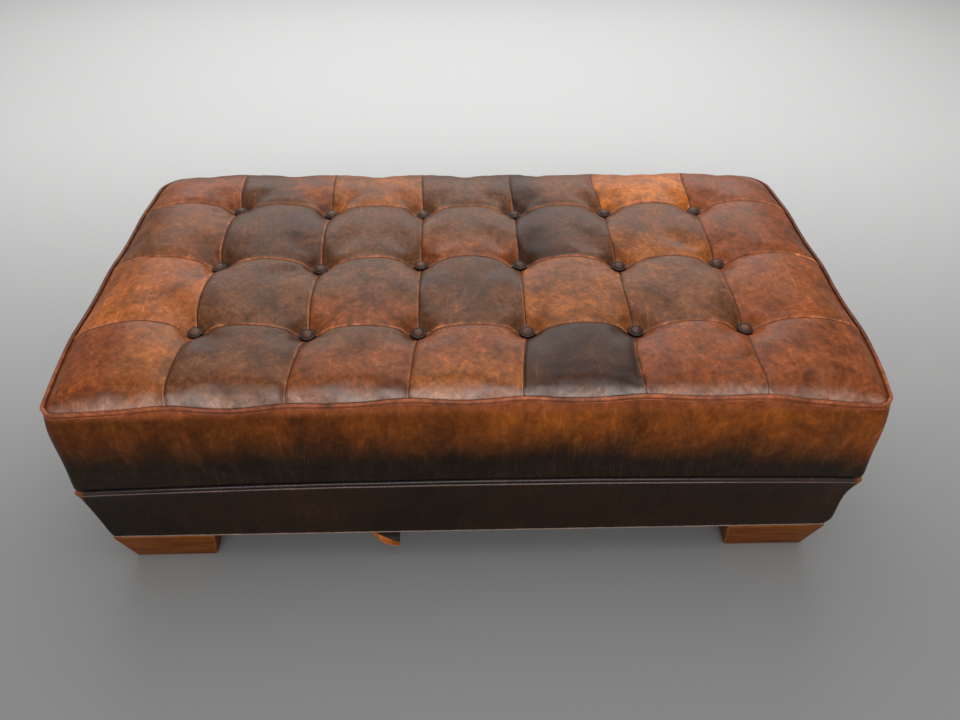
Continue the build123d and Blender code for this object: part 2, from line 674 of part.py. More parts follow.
def stay_bar(side, bar_x, start, end, holes):
    """Flat bar with round ends between two points of the side view."""
    middle = ((start[0] + end[0]) / 2, (start[1] + end[1]) / 2)
    plane, length = across(side, bar_x, bar_x + STAY_BAR)
    with BuildSketch(plane) as face:
        SlotCenterPoint(middle, end, STAY_WIDTH)
        for centre, radius in holes:
            with Locations(centre):
                Circle(radius, mode=Mode.SUBTRACT)
    extrude(to_extrude=face.sketch, amount=length)


PIVOT_HOLE = STAY_PIVOT_RADIUS + STAY_RUNNING
for side_name, side in SIDES.items():
    with BuildPart() as lower_bar:
        stay_bar(side, LOWER_BAR_X, BASE_PIVOT, ELBOW, [(BASE_PIVOT, PIVOT_HOLE)])
        disc(side, UPPER_BAR_X - FIT, LOWER_BAR_X, ELBOW, STAY_PIVOT_RADIUS)
        disc(side, UPPER_BAR_X - FIT - STAY_HEAD, UPPER_BAR_X - FIT, ELBOW, STAY_HEAD_RADIUS)
    save(lower_bar, f"stay_lower_{side_name}")

    with BuildPart() as upper_bar:
        holes = [(LID_PIVOT, PIVOT_HOLE), (ELBOW, STAY_PIVOT_RADIUS + ELBOW_ROOM)]
        stay_bar(side, UPPER_BAR_X, LID_PIVOT, TAIL, holes)
        disc(side, UPPER_BAR_X + STAY_BAR, LOWER_BAR_X + STAY_BAR, STOP, STOP_RADIUS)
    save(upper_bar, f"stay_upper_{side_name}")
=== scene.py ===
import math
import random

import bmesh
import bpy
from mathutils import Matrix, Vector, noise


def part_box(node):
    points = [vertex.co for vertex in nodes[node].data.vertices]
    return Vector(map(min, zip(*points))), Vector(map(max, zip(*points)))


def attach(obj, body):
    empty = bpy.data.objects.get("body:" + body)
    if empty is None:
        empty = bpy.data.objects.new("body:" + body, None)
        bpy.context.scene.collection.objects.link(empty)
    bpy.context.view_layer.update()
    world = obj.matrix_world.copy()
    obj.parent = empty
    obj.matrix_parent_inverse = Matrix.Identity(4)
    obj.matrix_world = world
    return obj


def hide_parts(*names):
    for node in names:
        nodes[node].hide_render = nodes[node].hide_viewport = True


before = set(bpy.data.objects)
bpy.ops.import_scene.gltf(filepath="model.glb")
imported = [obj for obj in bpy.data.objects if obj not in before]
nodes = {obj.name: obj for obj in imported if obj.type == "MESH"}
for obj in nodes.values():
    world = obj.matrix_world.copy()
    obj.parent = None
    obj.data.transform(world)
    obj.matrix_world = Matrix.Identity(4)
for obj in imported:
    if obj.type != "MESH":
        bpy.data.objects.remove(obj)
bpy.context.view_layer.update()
bpy.ops.object.select_all(action="DESELECT")


# Box frame: planed softwood boards butted at the corners, with blocks glued
# into the corners and a plywood bottom. The upholstery hides all of it.
def shader(name):
    """A new material, its node tree and its surface shader."""
    material = bpy.data.materials.new(name)
    material.use_nodes = True
    tree = material.node_tree
    return material, tree, tree.nodes["Principled BSDF"]


def give(tree, socket, value):
    """A socket wired to another node's output, or set to a value."""
    if isinstance(value, bpy.types.NodeSocket):
        tree.links.new(value, socket)
    else:
        socket.default_value = value


def feed(tree, node, **sockets):
    """Each named socket of a node given its value."""
    for key, value in sockets.items():
        give(tree, next(s for s in node.inputs if s.enabled and s.name.replace(" ", "_") == key), value)


def add(tree, kind, settings=(), **sockets):
    """A node with its settings and named sockets."""
    node = tree.nodes.new("ShaderNode" + kind)
    for key, value in dict(settings).items():
        setattr(node, key, value)
    feed(tree, node, **sockets)
    return node


def on_piece(tree):
    """Places on the piece, in metres."""
    return add(tree, "TexCoord").outputs["Object"]


def stretched(tree, place, scale):
    """A place scaled along each axis."""
    return add(tree, "Mapping", Vector=place, Scale=scale).outputs["Vector"]


def clouds(tree, place, scale, detail, roughness=0.5, distortion=0.0):
    """Soft random clouds, between 0 and 1."""
    node = add(tree, "TexNoise", Vector=place, Scale=scale, Detail=detail)
    feed(tree, node, Roughness=roughness, Distortion=distortion)
    return node.outputs["Fac"]


def rescale(tree, value, low, high, start=0.0, end=1.0, eased=False):
    """A value between low and high, brought to lie between start and end."""
    node = add(tree, "MapRange", {"interpolation_type": "SMOOTHSTEP" if eased else "LINEAR"})
    feed(tree, node, Value=value, From_Min=low, From_Max=high, To_Min=start, To_Max=end)
    return node.outputs["Result"]


def ramp(tree, value, *stops):
    """Colours or grey levels spread along a value, given as (place, colour) pairs."""
    node = add(tree, "ValToRGB", Fac=value)
    band = node.color_ramp
    while len(band.elements) < len(stops):
        band.elements.new(0.5)
    for element, (place, colour) in zip(band.elements, stops):
        element.position = place
        level = (colour,) * 3 if isinstance(colour, (int, float)) else colour
        element.color = (*level, 1.0)
    return node.outputs["Color"]


def mix(tree, factor, first, second, blend="MIX"):
    """One colour laid over another."""
    settings = {"data_type": "RGBA", "blend_type": blend, "clamp_factor": True}
    first, second = ((*c, 1.0) if isinstance(c, tuple) else c for c in (first, second))
    node = add(tree, "Mix", settings, Factor=factor, A=first, B=second)
    return next(s for s in node.outputs if s.type == "RGBA" and s.enabled)


def times(tree, first, second):
    """One colour multiplied by another."""
    return mix(tree, 1.0, first, second, "MULTIPLY")


def bump(tree, surface, height, depth, strength):
    """Fine relief on a surface, depth in metres."""
    relief = add(tree, "Bump", Height=height, Distance=depth, Strength=strength)
    feed(tree, surface, Normal=relief.outputs["Normal"])


def wood(name, stretch, dark, light, gloss):
    """Straight-grained wood. Stretch is how much finer the grain is across each axis than along it."""
    material, tree, surface = shader(name)
    along = stretched(tree, on_piece(tree), stretch)
    grain = clouds(tree, along, 6.0, 6.0, 0.6, 0.6)
    pores = clouds(tree, along, 45.0, 3.0, 0.7)
    figure = ramp(tree, grain, (0.32, dark), (0.68, light))
    flecks = ramp(tree, pores, (0.36, 0.72), (0.5, 1.0))
    sheen = rescale(tree, grain, 0.0, 1.0, gloss + 0.1, gloss - 0.06)
    feed(tree, surface, Base_Color=times(tree, figure, flecks), Roughness=sheen)
    bump(tree, surface, pores, 0.0004, 0.5)
    return material


def dress(material, *names):
    """Gives CAD nodes a material."""
    for name in names:
        nodes[name].data.materials.clear()
        nodes[name].data.materials.append(material)


PLANED = (0.44, 0.29, 0.15), (0.62, 0.46, 0.28), 0.6
SANDED = (0.50, 0.36, 0.21), (0.66, 0.52, 0.34), 0.62
long_boards = wood("planed_board_long", (1, 14, 14), *PLANED)
short_boards = wood("planed_board_short", (14, 1, 14), *PLANED)
upright_blocks = wood("planed_block", (14, 14, 1), *PLANED)
plywood = wood("sanded_plywood", (1, 9, 9), *SANDED)
dress(long_boards, "rail_front", "rail_back")
dress(short_boards, "rail_left", "rail_right")
dress(upright_blocks, "corner_blocks")
dress(plywood, "base_panel")


# Lining of the storage well: one piece of black woven cloth stapled inside the
# boards, stepped round the corner blocks and lying on the bottom board.
def work_out(tree, operation, *values, kind="Math"):
    """The result of a sum on values or outputs."""
    node = add(tree, kind, {"operation": operation})
    for socket, value in zip(node.inputs, values):
        give(tree, socket, value)
    return node.outputs[0]


def woven_cloth(name, colour, thread=0.0011):
    """Plain weave: two crossing sets of threads, a little uneven in tone."""
    material, tree, surface = shader(name)
    place = on_piece(tree)
    sets = []
    for direction in "XYZ":
        settings = {"wave_type": "BANDS", "bands_direction": direction}
        threads = add(tree, "TexWave", settings, Vector=place, Scale=0.1 / thread * math.pi, Distortion=0.4)
        sets.append(threads.outputs["Fac"])
    weave = work_out(tree, "MULTIPLY", work_out(tree, "ADD", *sets[:2]), sets[2])
    dust = ramp(tree, clouds(tree, place, 14.0, 4.0), (0.35, 0.75), (0.7, 1.35))
    feed(tree, surface, Base_Color=times(tree, colour, dust), Roughness=0.92, Sheen_Weight=0.25)
    bump(tree, surface, weave, 0.0003, 0.6)
    return material


def put(name, data):
    """A new object at the origin."""
    piece = bpy.data.objects.new(name, data)
    bpy.context.scene.collection.objects.link(piece)
    return piece


def take(*pieces):
    """Selects these pieces alone, with the first one active."""
    bpy.ops.object.select_all(action="DESELECT")
    for piece in pieces:
        piece.select_set(True)
    bpy.context.view_layer.objects.active = pieces[0]


def piece_of(name, points, faces):
    """A new smooth piece from points and faces."""
    mesh = bpy.data.meshes.new(name)
    mesh.from_pydata(points, [], faces)
    mesh.shade_smooth()
    piece = put(name, mesh)
    take(piece)
    return piece


def finish_with(piece, kind, **settings):
    """Adds a modifier to the active piece and applies it."""
    modifier = piece.modifiers.new(kind.lower(), kind)
    for key, value in settings.items():
        setattr(modifier, key, value)
    bpy.ops.object.modifier_apply(modifier=modifier.name)


CLOTH = 0.0012
CORNER_BLOCK = 0.040
TRAY_STEPS = (22, 11)
TRAY_LEVELS = (0, 0.12, 0.5, 1)
TRAY_CREASE = math.radians(50)


def lining_tray(name, half_x, half_y, floor, rim, sag):
    """Cloth over a board and up (or down) its four walls, stepped round a block in each corner."""
    def stations(half, count):
        inner = half - CORNER_BLOCK
        return [-half] + [-inner + 2 * inner * i / count for i in range(count + 1)] + [half]

    xs, ys = stations(half_x, TRAY_STEPS[0]), stations(half_y, TRAY_STEPS[1])
    end_i, end_j = len(xs) - 2, len(ys) - 2
    levels = [floor + share * (rim - floor) for share in TRAY_LEVELS]
    points, faces, index = [], [], {}

    def point(i, j, level):
        if (i, j, level) not in index:
            index[i, j, level] = len(points)
            x, y, lift = xs[i], ys[j], 0.0
            if level == 0 and 1 < i < end_i and 1 < j < end_j:
                broad, fine = noise.noise(Vector((x * 9, y * 9, 3))), noise.noise(Vector((x * 23, y * 23, 7)))
                lift = sag * (0.5 + 0.5 * (broad + 0.5 * fine))
            points.append((x, y, levels[level] + lift))
        return index[i, j, level]

    cells = [(i, j) for i in range(end_i + 1) for j in range(end_j + 1)]
    kept = [(i, j) for i, j in cells if i not in (0, end_i) or j not in (0, end_j)]
    for i, j in kept:
        corners = (i, j), (i + 1, j), (i + 1, j + 1), (i, j + 1)
        faces.append([point(*corner, 0) for corner in corners])
        beyond = (i, j - 1), (i + 1, j), (i, j + 1), (i - 1, j)
        for a, b, neighbour in zip(corners, corners[1:] + corners[:1], beyond):
            if neighbour not in kept:
                for level in range(len(levels) - 1):
                    low, high = level, level + 1
                    faces.append([point(*b, low), point(*a, low), point(*a, high), point(*b, high)])
    tray = piece_of(name, points, faces)
    finish_with(tray, "SOLIDIFY", thickness=CLOTH, offset=0.0)
    tray.data.shade_flat()
    bpy.ops.object.shade_smooth_by_angle(angle=TRAY_CREASE)
    return tray


WALL_ROOM = 0.0009
lining_cloth = woven_cloth("black_lining_cloth", (0.030, 0.029, 0.030))
well_low, well_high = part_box("storage_lining")
well_x, well_y = well_high.x - WALL_ROOM, well_high.y - WALL_ROOM
storage_tray = lining_tray("storage_tray", well_x, well_y, well_low.z + WALL_ROOM, well_high.z, 0.0025)
storage_tray.data.materials.append(lining_cloth)
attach(storage_tray, "base")
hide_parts("storage_lining")


# Cover of the rails: dark waxed hide wrapped round the boards and turned under
# their bottom edge. It flares out along the top, up to the piping.
ROUND_STEPS = (140, 74)
CORNER_STEPS = 10


def plan_ring(half_x, half_y, radius, back_radius=None):
    """Points and outward directions round a rectangle with rounded corners, from the left of the front."""
    turns = (radius, back_radius or radius, back_radius or radius, radius)
    signs = ((1, -1), (1, 1), (-1, 1), (-1, -1))
    centres = [Vector((p * (half_x - r), q * (half_y - r))) for (p, q), r in zip(signs, turns)]
    ring = []
    for turn, centre in enumerate(centres):
        facing = math.radians(90 * turn - 90)
        outward = Vector((math.cos(facing), math.sin(facing)))
        start, end = centres[turn - 1] + turns[turn - 1] * outward, centre + turns[turn] * outward
        steps = ROUND_STEPS[turn % 2]
        ring += [(start.lerp(end, step / steps), outward) for step in range(steps)]
        for step in range(CORNER_STEPS):
            angle = facing + math.pi / 2 * step / CORNER_STEPS
            outward = Vector((math.cos(angle), math.sin(angle)))
            ring.append((centre + turns[turn] * outward, outward))
    return ring


def skin(name, rings, closed=False):
    """Leather lofted through rings of points, each ring above the one before on the outside."""
    count = len(rings[0])
    faces = []
    for level in range(len(rings) if closed else len(rings) - 1):
        low, high = level * count, (level + 1) % len(rings) * count
        for i in range(count):
            j = (i + 1) % count
            faces.append((low + i, low + j, high + j, high + i))
    return piece_of(name, [point for ring in rings for point in ring], faces)


def creases(x, y, z, size, seed):
    """Uneven swelling of leather, between about -1 and 1."""
    here = Vector((x / size, y / size, z / size + 17.3 * seed))
    return noise.noise(here) + 0.4 * noise.noise(2.3 * here)


def noted(tree, name, output="Fac"):
    """What a mesh notes under a name."""
    return add(tree, "Attribute", {"attribute_name": name}).outputs[output]


# Each set of hairline scratches: its direction, how fine its lines are and how they run on
SCRATCHES = ((0.5, 330.0, 9.0), (-0.8, 420.0, 12.0), (1.6, 300.0, 8.0), (2.5, 460.0, 14.0))


def waxed_leather(name, tone_of, gloss=0.40, scuffs=0.35, shine=0.32, shift=None, creased=0.3,
                  stretch=1.0, even=0.0):
    """Waxed hide: colour from tone_of(tree, place), mottling, scratches, pebble grain and fine creases."""
    material, tree, surface = shader(name)
    place = on_piece(tree)
    if shift:
        place = work_out(tree, "ADD", place, noted(tree, shift, "Vector"), kind="VectorMath")
    drawn_out = stretched(tree, place, (1, 1, stretch))
    blotches = clouds(tree, drawn_out, 24.0, 7.0, 0.66, 0.5)
    mottle = clouds(tree, drawn_out, 110.0, 8.0, 0.75, 0.3)
    plain = tone_of(tree, place)
    colour = times(tree, plain, ramp(tree, blotches, (0.30, 0.52), (0.5, 0.98), (0.72, 1.44)))
    colour = times(tree, colour, ramp(tree, mottle, (0.32, 0.58), (0.5, 0.98), (0.66, 1.46)))
    colour = mix(tree, even, colour, plain)
    bent = add(tree, "TexNoise", Vector=place, Scale=7.0, Detail=2.0).outputs["Color"]
    curved = work_out(tree, "MULTIPLY_ADD", bent, (0.035, 0.035, 0.035), place, kind="VectorMath")
    scratched = (0.0, 0.0, 0.0)
    for turn, finest, length in SCRATCHES:
        lines = add(tree, "Mapping", {"vector_type": "TEXTURE"}, Vector=curved)
        feed(tree, lines, Rotation=(0, 0, turn), Scale=(1 / length, 1 / finest, 0.2))
        streaks = clouds(tree, lines.outputs["Vector"], 1.0, 1.0, 0.4)
        scratched = mix(tree, 1.0, scratched, ramp(tree, streaks, (0.61, 0.0), (0.72, 1.0)), "LIGHTEN")
    lightened = times(tree, scratched, ramp(tree, blotches, (0.40, 0.0), (0.64, scuffs)))
    lighter = mix(tree, 1.0, times(tree, colour, (1.8, 1.8, 1.8)), (0.050, 0.021, 0.009), "ADD")
    sheen = rescale(tree, blotches, 0.3, 0.7, gloss - 0.06, gloss + 0.10)
    feed(tree, surface, Base_Color=mix(tree, lightened, colour, lighter), Roughness=sheen)
    feed(tree, surface, Specular_IOR_Level=shine)
    pebbles = add(tree, "TexVoronoi", {"feature": "SMOOTH_F1"}, Vector=place, Scale=520.0)
    wrinkles = clouds(tree, place, 46.0, 6.0, 0.6, 1.2)
    relief = work_out(tree, "MULTIPLY_ADD", pebbles.outputs["Distance"], 0.22, wrinkles)
    bump(tree, surface, relief, 0.0016, creased)
    return material


COVER_LEATHER = 0.0018
COVER_HALF_X, COVER_HALF_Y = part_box("base_cover")[1].xy
COVER_BOTTOM, COVER_TOP = (corner.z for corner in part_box("base_cover"))
PIPING_HALF_X, PIPING_HALF_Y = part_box("base_welt")[1].xy
RETURN_WIDTH = 0.033
COVER_CORNER, LEAST_CORNER = 0.007, 0.002
TURNED_UNDER = ((RETURN_WIDTH, 0.0006), (0.010, 0.0004), (0.0030, 0.0003), (0.0010, 0.0010), (0.0, 0.0030),
                (0.0, 0.008))
FLARE_FOOT = 0.13
FLARE = ((0.092, 0.0), (0.105, 0.0), (0.130, 0.0), (0.150, 0.0002), (0.165, 0.0005), (0.178, 0.0013),
         (0.188, 0.0025), (0.197, 0.0042), (0.204, 0.0058), (0.2095, 0.0072))
COVER_SWELL = 0.0005
FRONT_RISE, FRONT_DRAW = 0.0050, 0.0042
CORNER_DROOP, DROOP_REACH, LEFT_DROOP = 0.0005, 0.045, 0.0035
END_FLARE = 0.0065
LEFT_LEAN = ((0.078, 0.0), (0.112, 0.0045), (0.146, 0.0090), (0.173, 0.0115), (0.194, 0.0070), (0.212, 0.0))
RIGHT_LEAN = ((0.078, 0.0), (0.093, 0.0085), (0.112, 0.0065), (0.146, 0.0045), (0.173, 0.0050),
              (0.194, 0.0065), (0.212, 0.0))


def ease(value, low, high):
    """A smooth step from 0 at low to 1 at high."""
    share = min(max((value - low) / (high - low), 0.0), 1.0)
    return share * share * (3 - 2 * share)


def front_share(y):
    """1 along the front edge, fading to 0 a short way along the sides."""
    return ease(-y / PIPING_HALF_Y, 0.72, 0.96)


def front_rise(x, y):
    """How far the front's split line rises in the middle and droops at its corners."""
    across = abs(x) / PIPING_HALF_X
    bow = FRONT_RISE - (FRONT_RISE + (LEFT_DROOP if x < 0 else 0.0)) * across**2
    from_corner = (1 - across) * PIPING_HALF_X
    droop = CORNER_DROOP * math.exp(-((from_corner / DROOP_REACH) ** 2)) if x > 0 else 0.0
    return front_share(y) * (bow - droop)


def front_draw(x, y):
    """How far the split line is drawn in along the front."""
    return front_share(y) * FRONT_DRAW * (1 - (x / PIPING_HALF_X) ** 2)


def along_profile(profile, place):
    """Value of a profile, given as (place, value) pairs, at one place. Outside its ends it is 0."""
    for (a, low), (b, high) in zip(profile, profile[1:]):
        if a <= place <= b:
            return low + (high - low) * (place - a) / (b - a)
    return 0.0


def eased_profile(profile, place, reach=0.03):
    """The same value averaged over a short stretch, so that the line has no kinks."""
    return sum(along_profile(profile, place + reach * k) for k in (-1, -0.5, 0, 0.5, 1)) / 5


def lean(x, z):
    """How far the ends of the box lean out on their way up to the piping."""
    out = eased_profile(LEFT_LEAN if x < 0 else RIGHT_LEAN, z, 0.006)
    return math.copysign(out * (abs(x) / COVER_HALF_X) ** 9, x)


rings = []
for inset, rise in TURNED_UNDER:
    ring = plan_ring(COVER_HALF_X - inset, COVER_HALF_Y - inset, max(COVER_CORNER - inset, LEAST_CORNER))
    rings.append([(*point, COVER_BOTTOM + rise) for point, out in ring])
for z, flare in FLARE:
    up = max((z - FLARE_FOOT) / (COVER_TOP - FLARE_FOOT), 0.0)
    end_flare = flare * (1 + END_FLARE / FLARE[-1][1])
    ring = []
    for point, out in plan_ring(COVER_HALF_X + end_flare, COVER_HALF_Y + flare, COVER_CORNER):
        swell = COVER_SWELL * (1 + creases(point.x, point.y, z, 0.11, 1))
        spot = point + (swell - min(front_draw(*point) * up**3, flare)) * out
        ring.append((spot.x + lean(spot.x, z), spot.y, z + front_rise(*point) * up**2))
    rings.append(ring)
rail_cover = skin("rail_cover", rings)
finish_with(rail_cover, "SOLIDIFY", thickness=COVER_LEATHER, offset=-1.0)
finish_with(rail_cover, "SUBSURF", levels=1, render_levels=1)


def dark_hide(tree, place):
    """Near-black brown, with a raw tan edge along the bottom, painted paler as the highlight on its rounded
    arris too, and orange wear at the top corners.
    """
    broad = clouds(tree, place, 5.0, 5.0, 0.6)
    colour = ramp(tree, broad, (0.34, (0.0122, 0.0072, 0.0038)), (0.66, (0.027, 0.0122, 0.0052)))
    spot = add(tree, "SeparateXYZ", Vector=place).outputs
    ragged = clouds(tree, place, 70.0, 4.0)
    edge = rescale(tree, work_out(tree, "MULTIPLY_ADD", ragged, -0.0035, spot["Z"]), 0.074, 0.083)
    raw_edge_and_highlight = ramp(tree, edge, (0.20, 0.0), (0.30, 0.95), (0.66, 0.95), (0.86, 0.0))
    # Raw tan cut edge along the bottom, painted pale as the highlight on its arris as well
    colour = mix(tree, raw_edge_and_highlight, colour, (0.40, 0.27, 0.22))
    end, side = (work_out(tree, "ABSOLUTE", spot[axis]) for axis in "XY")
    tip = work_out(tree, "MULTIPLY", rescale(tree, end, 0.598, 0.610), rescale(tree, side, 0.296, 0.312))
    tip = work_out(tree, "MULTIPLY", tip, rescale(tree, spot["Z"], 0.197, 0.208))
    sharp = COVER_HALF_X + COVER_HALF_Y - COVER_CORNER
    arris = rescale(tree, work_out(tree, "ADD", end, side), sharp + 0.014, sharp + 0.020, 0.0, 0.45)
    worn = work_out(tree, "MAXIMUM", tip, arris)
    worn = work_out(tree, "MULTIPLY", worn, ramp(tree, ragged, (0.38, 0.0), (0.50, 1.0)))
    return mix(tree, worn, colour, (0.34, 0.10, 0.025))


rail_hide = waxed_leather("dark_rail_hide", dark_hide, 0.42, 0.15, 0.13, even=0.6)
rail_cover.data.materials.append(rail_hide)
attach(rail_cover, "base")
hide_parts("base_cover")


# Piping round the top edge of the box: black hide sewn over a cord, with its
# flange laid on the boards and tacked there under the hinges.
def piping(name, path, radius):
    """A round cord along a closed run of points."""
    line = bpy.data.curves.new(name, "CURVE")
    line.dimensions = "3D"
    line.bevel_depth = radius
    line.bevel_resolution = 4
    spline = line.splines.new("POLY")
    spline.points.add(len(path) - 1)
    for spot, point in zip(spline.points, path):
        spot.co = (*point, 1.0)
    spline.use_cyclic_u = True
    take(put(name, line))
    bpy.ops.object.convert(target="MESH")
    cord = bpy.context.view_layer.objects.active
    cord.data.shade_smooth()
    return cord


def join(*pieces):
    """Pieces joined into the first one."""
    take(*pieces)
    bpy.ops.object.join()
    return pieces[0]


def note(piece, name, level_of, domain="POINT"):
    """Notes a level for each numbered point or face of a piece under a name."""
    marks = piece.data.attributes.new(name, "FLOAT", domain)
    for number, mark in enumerate(marks.data):
        mark.value = level_of(number)
    return piece


def round_block(point, half_x, half_y):
    """A point on the edge of an opening, moved round the block in the opening's corner."""
    reach = CORNER_BLOCK + 0.0015
    a, b = half_x - abs(point.x), half_y - abs(point.y)
    if max(a, b) < reach:
        a, b = reach - b, reach - a
    return Vector((math.copysign(half_x - a, point.x), math.copysign(half_y - b, point.y)))


BOX_PIPING, BOX_PIPING_Z = 0.0034, 0.2125
BOX_FOLD, BOX_FOLD_DROP, BOX_FOLD_OUT, BOX_FOLD_DRAWN = 0.0015, 0.0054, 0.0019, 0.72
PIPING_PAINTED_HIGHLIGHT, FOLD_PAINTED_HIGHLIGHT = 0.10, 0.95
FLANGE_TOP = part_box("base_welt")[1].z
FLANGE_OPENING = (0.581, 0.298)
FLANGE_INSET = 0.0085
path, fold = [], []
cord_x, cord_y = PIPING_HALF_X + END_FLARE - BOX_PIPING, PIPING_HALF_Y - BOX_PIPING
for point, out in plan_ring(cord_x, cord_y, COVER_CORNER):
    draw = front_draw(*point)
    z = BOX_PIPING_Z + front_rise(*point) + 0.0004 * creases(point.x, point.y, 0, 0.06, 2)
    path.append((*(point - draw * out), z))
    fold.append((*(point + (BOX_FOLD_OUT - BOX_FOLD_DRAWN * draw) * out), z - BOX_FOLD_DROP))
inner = [round_block(point, *FLANGE_OPENING) for point, out in plan_ring(*FLANGE_OPENING, LEAST_CORNER)]
outer = plan_ring(PIPING_HALF_X - FLANGE_INSET, PIPING_HALF_Y - FLANGE_INSET, LEAST_CORNER)
outer = [point for point, out in outer]
levels = (inner, 0.0018), (outer, 0.0050), (outer, 0.0), (inner, 0.0)
rings = [[(*point, FLANGE_TOP - drop) for point in ring] for ring, drop in levels]
# Share of the painted pale highlight: none on the flange, a little on the cord, most on its fold
flange = note(skin("box_flange", rings, closed=True), "lightened", lambda point: 0.0)
box_piping = note(piping("box_piping", path, BOX_PIPING), "lightened", lambda point: PIPING_PAINTED_HIGHLIGHT)
box_fold = note(piping("box_fold", fold, BOX_FOLD), "lightened", lambda point: FOLD_PAINTED_HIGHLIGHT)
join(box_piping, box_fold, flange)


def black_hide(tree, place):
    """Black-brown, rubbed to grey and brown here and there. Where marked, the cord a little and its fold much
    more are painted pale as their highlight lines.
    """
    colour = ramp(
        tree, clouds(tree, place, 16.0, 5.0, 0.65),
        (0.35, (0.010, 0.007, 0.006)), (0.62, (0.024, 0.015, 0.012)), (0.75, (0.07, 0.038, 0.028)),
    )
    # Painted highlight: pale pinkish grey where marked
    colour = mix(tree, noted(tree, "lightened"), colour, (0.150, 0.092, 0.080))
    spot = add(tree, "SeparateXYZ", Vector=place).outputs
    end = rescale(tree, work_out(tree, "ABSOLUTE", spot["X"]), 0.598, 0.608)
    tip = work_out(tree, "MULTIPLY", end, rescale(tree, spot["Y"], -0.300, -0.312))
    return mix(tree, tip, colour, (0.26, 0.075, 0.020))


black_piping = waxed_leather("black_piping_hide", black_hide, 0.28, 0.1, 0.45, creased=0.03, even=0.5)
tree = black_piping.node_tree
polish = rescale(tree, noted(tree, "lightened"), 0.0, PIPING_PAINTED_HIGHLIGHT, 0.60, 0.19)
feed(tree, tree.nodes["Principled BSDF"], Roughness=polish)
box_piping.data.materials.append(black_piping)
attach(box_piping, "base")
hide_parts("base_welt")


# Dust cloth: thin black cloth stapled over the underside of the box.
# It sags a little between the staples along the rails.
def grid_faces(columns, rows):
    """Faces over a grid of points, facing the side from which the rows run from left to right and up."""
    across = columns + 1
    corners = [row * across + column for row in range(rows) for column in range(columns)]
    return [(c, c + 1, c + across + 1, c + across) for c in corners]


DUST_CLOTH, DUST_SAG = 0.0006, 0.003
DUST_STEPS = (26, 14)
dust_low, dust_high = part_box("dust_cover")
points = []
for j in range(DUST_STEPS[1] + 1):
    for i in range(DUST_STEPS[0] + 1):
        s, t = 2 * i / DUST_STEPS[0] - 1, 2 * j / DUST_STEPS[1] - 1
        droop = DUST_SAG * (1 - s**4) * (1 - t**4) * (0.8 + 0.4 * creases(s, t, 0, 0.4, 3))
        points.append((s * dust_high.x, t * dust_high.y, dust_low.z + 0.0004 - droop))
dust_cloth = piece_of("dust_cloth", points, [face[::-1] for face in grid_faces(*DUST_STEPS)])
finish_with(dust_cloth, "SOLIDIFY", thickness=DUST_CLOTH, offset=-1.0)
dust_cloth.data.materials.append(lining_cloth)
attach(dust_cloth, "base")
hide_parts("dust_cover")


# Feet: solid wooden blocks tapered on all four sides, stained brown and eased
# along their edges, each drawn up by one bolt into its corner block.
def pick_faces(piece, way):
    """Opens a piece for editing, with only its faces that point up (1) or down (-1) selected."""
    bpy.ops.object.mode_set(mode="EDIT")
    bpy.ops.mesh.select_mode(type="FACE")
    bpy.ops.mesh.select_all(action="DESELECT")
    bpy.ops.object.mode_set(mode="OBJECT")
    for face in piece.data.polygons:
        face.select = way * face.normal.z > 0.9
    bpy.ops.object.mode_set(mode="EDIT")


FOOT_EASE = 0.0028
FOOT_CREASE = math.radians(40)
FOOT_BOTTOM_SHARE = 138 / 168
foot_names = ("foot_front_left", "foot_front_right", "foot_back_left", "foot_back_right")
foot_low, foot_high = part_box(foot_names[0])
foot_width = foot_high.x - foot_low.x
bpy.ops.object.select_all(action="DESELECT")
bpy.ops.mesh.primitive_cube_add(size=1.0)
block = bpy.context.object
block.scale = (foot_width, foot_width, foot_high.z - foot_low.z)
bpy.ops.object.transform_apply(location=False, rotation=False, scale=True)
pick_faces(block, -1)
bpy.ops.transform.resize(value=(FOOT_BOTTOM_SHARE, FOOT_BOTTOM_SHARE, 1.0))
bpy.ops.mesh.select_all(action="SELECT")
bpy.ops.mesh.bevel(offset=FOOT_EASE, segments=3, affect="EDGES")
bpy.ops.object.mode_set(mode="OBJECT")
sides = block.data.polygons
widest = max(face.area for face in sides)
note(block, "eased", lambda face: 1.0 if sides[face].area < 0.2 * widest else 0.0, "FACE")
block.data.shade_smooth()
bpy.ops.object.shade_smooth_by_angle(angle=FOOT_CREASE)
stained = wood("stained_foot_wood", (2.2, 2.2, 26), (0.107, 0.027, 0.0035), (0.245, 0.069, 0.008), 0.46)
tree = stained.node_tree
surface = tree.nodes["Principled BSDF"]
stain = surface.inputs["Base Color"].links[0].from_socket
# Eased edges scuffed lighter and painted lighter as their highlight
scuffs_and_highlight = ramp(tree, clouds(tree, on_piece(tree), 60.0, 4.0), (0.35, 0.10), (0.6, 0.60))
worn = work_out(tree, "MULTIPLY", noted(tree, "eased"), scuffs_and_highlight)
feed(tree, surface, Base_Color=mix(tree, worn, stain, (0.30, 0.115, 0.035)), Specular_IOR_Level=0.10)
block.data.materials.append(stained)
for name in foot_names:
    low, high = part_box(name)
    foot = put("block_" + name, block.data.copy())
    foot.data.transform(Matrix.Translation((low + high) / 2))
    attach(foot, "base")
    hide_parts(name)
bpy.data.objects.remove(block)


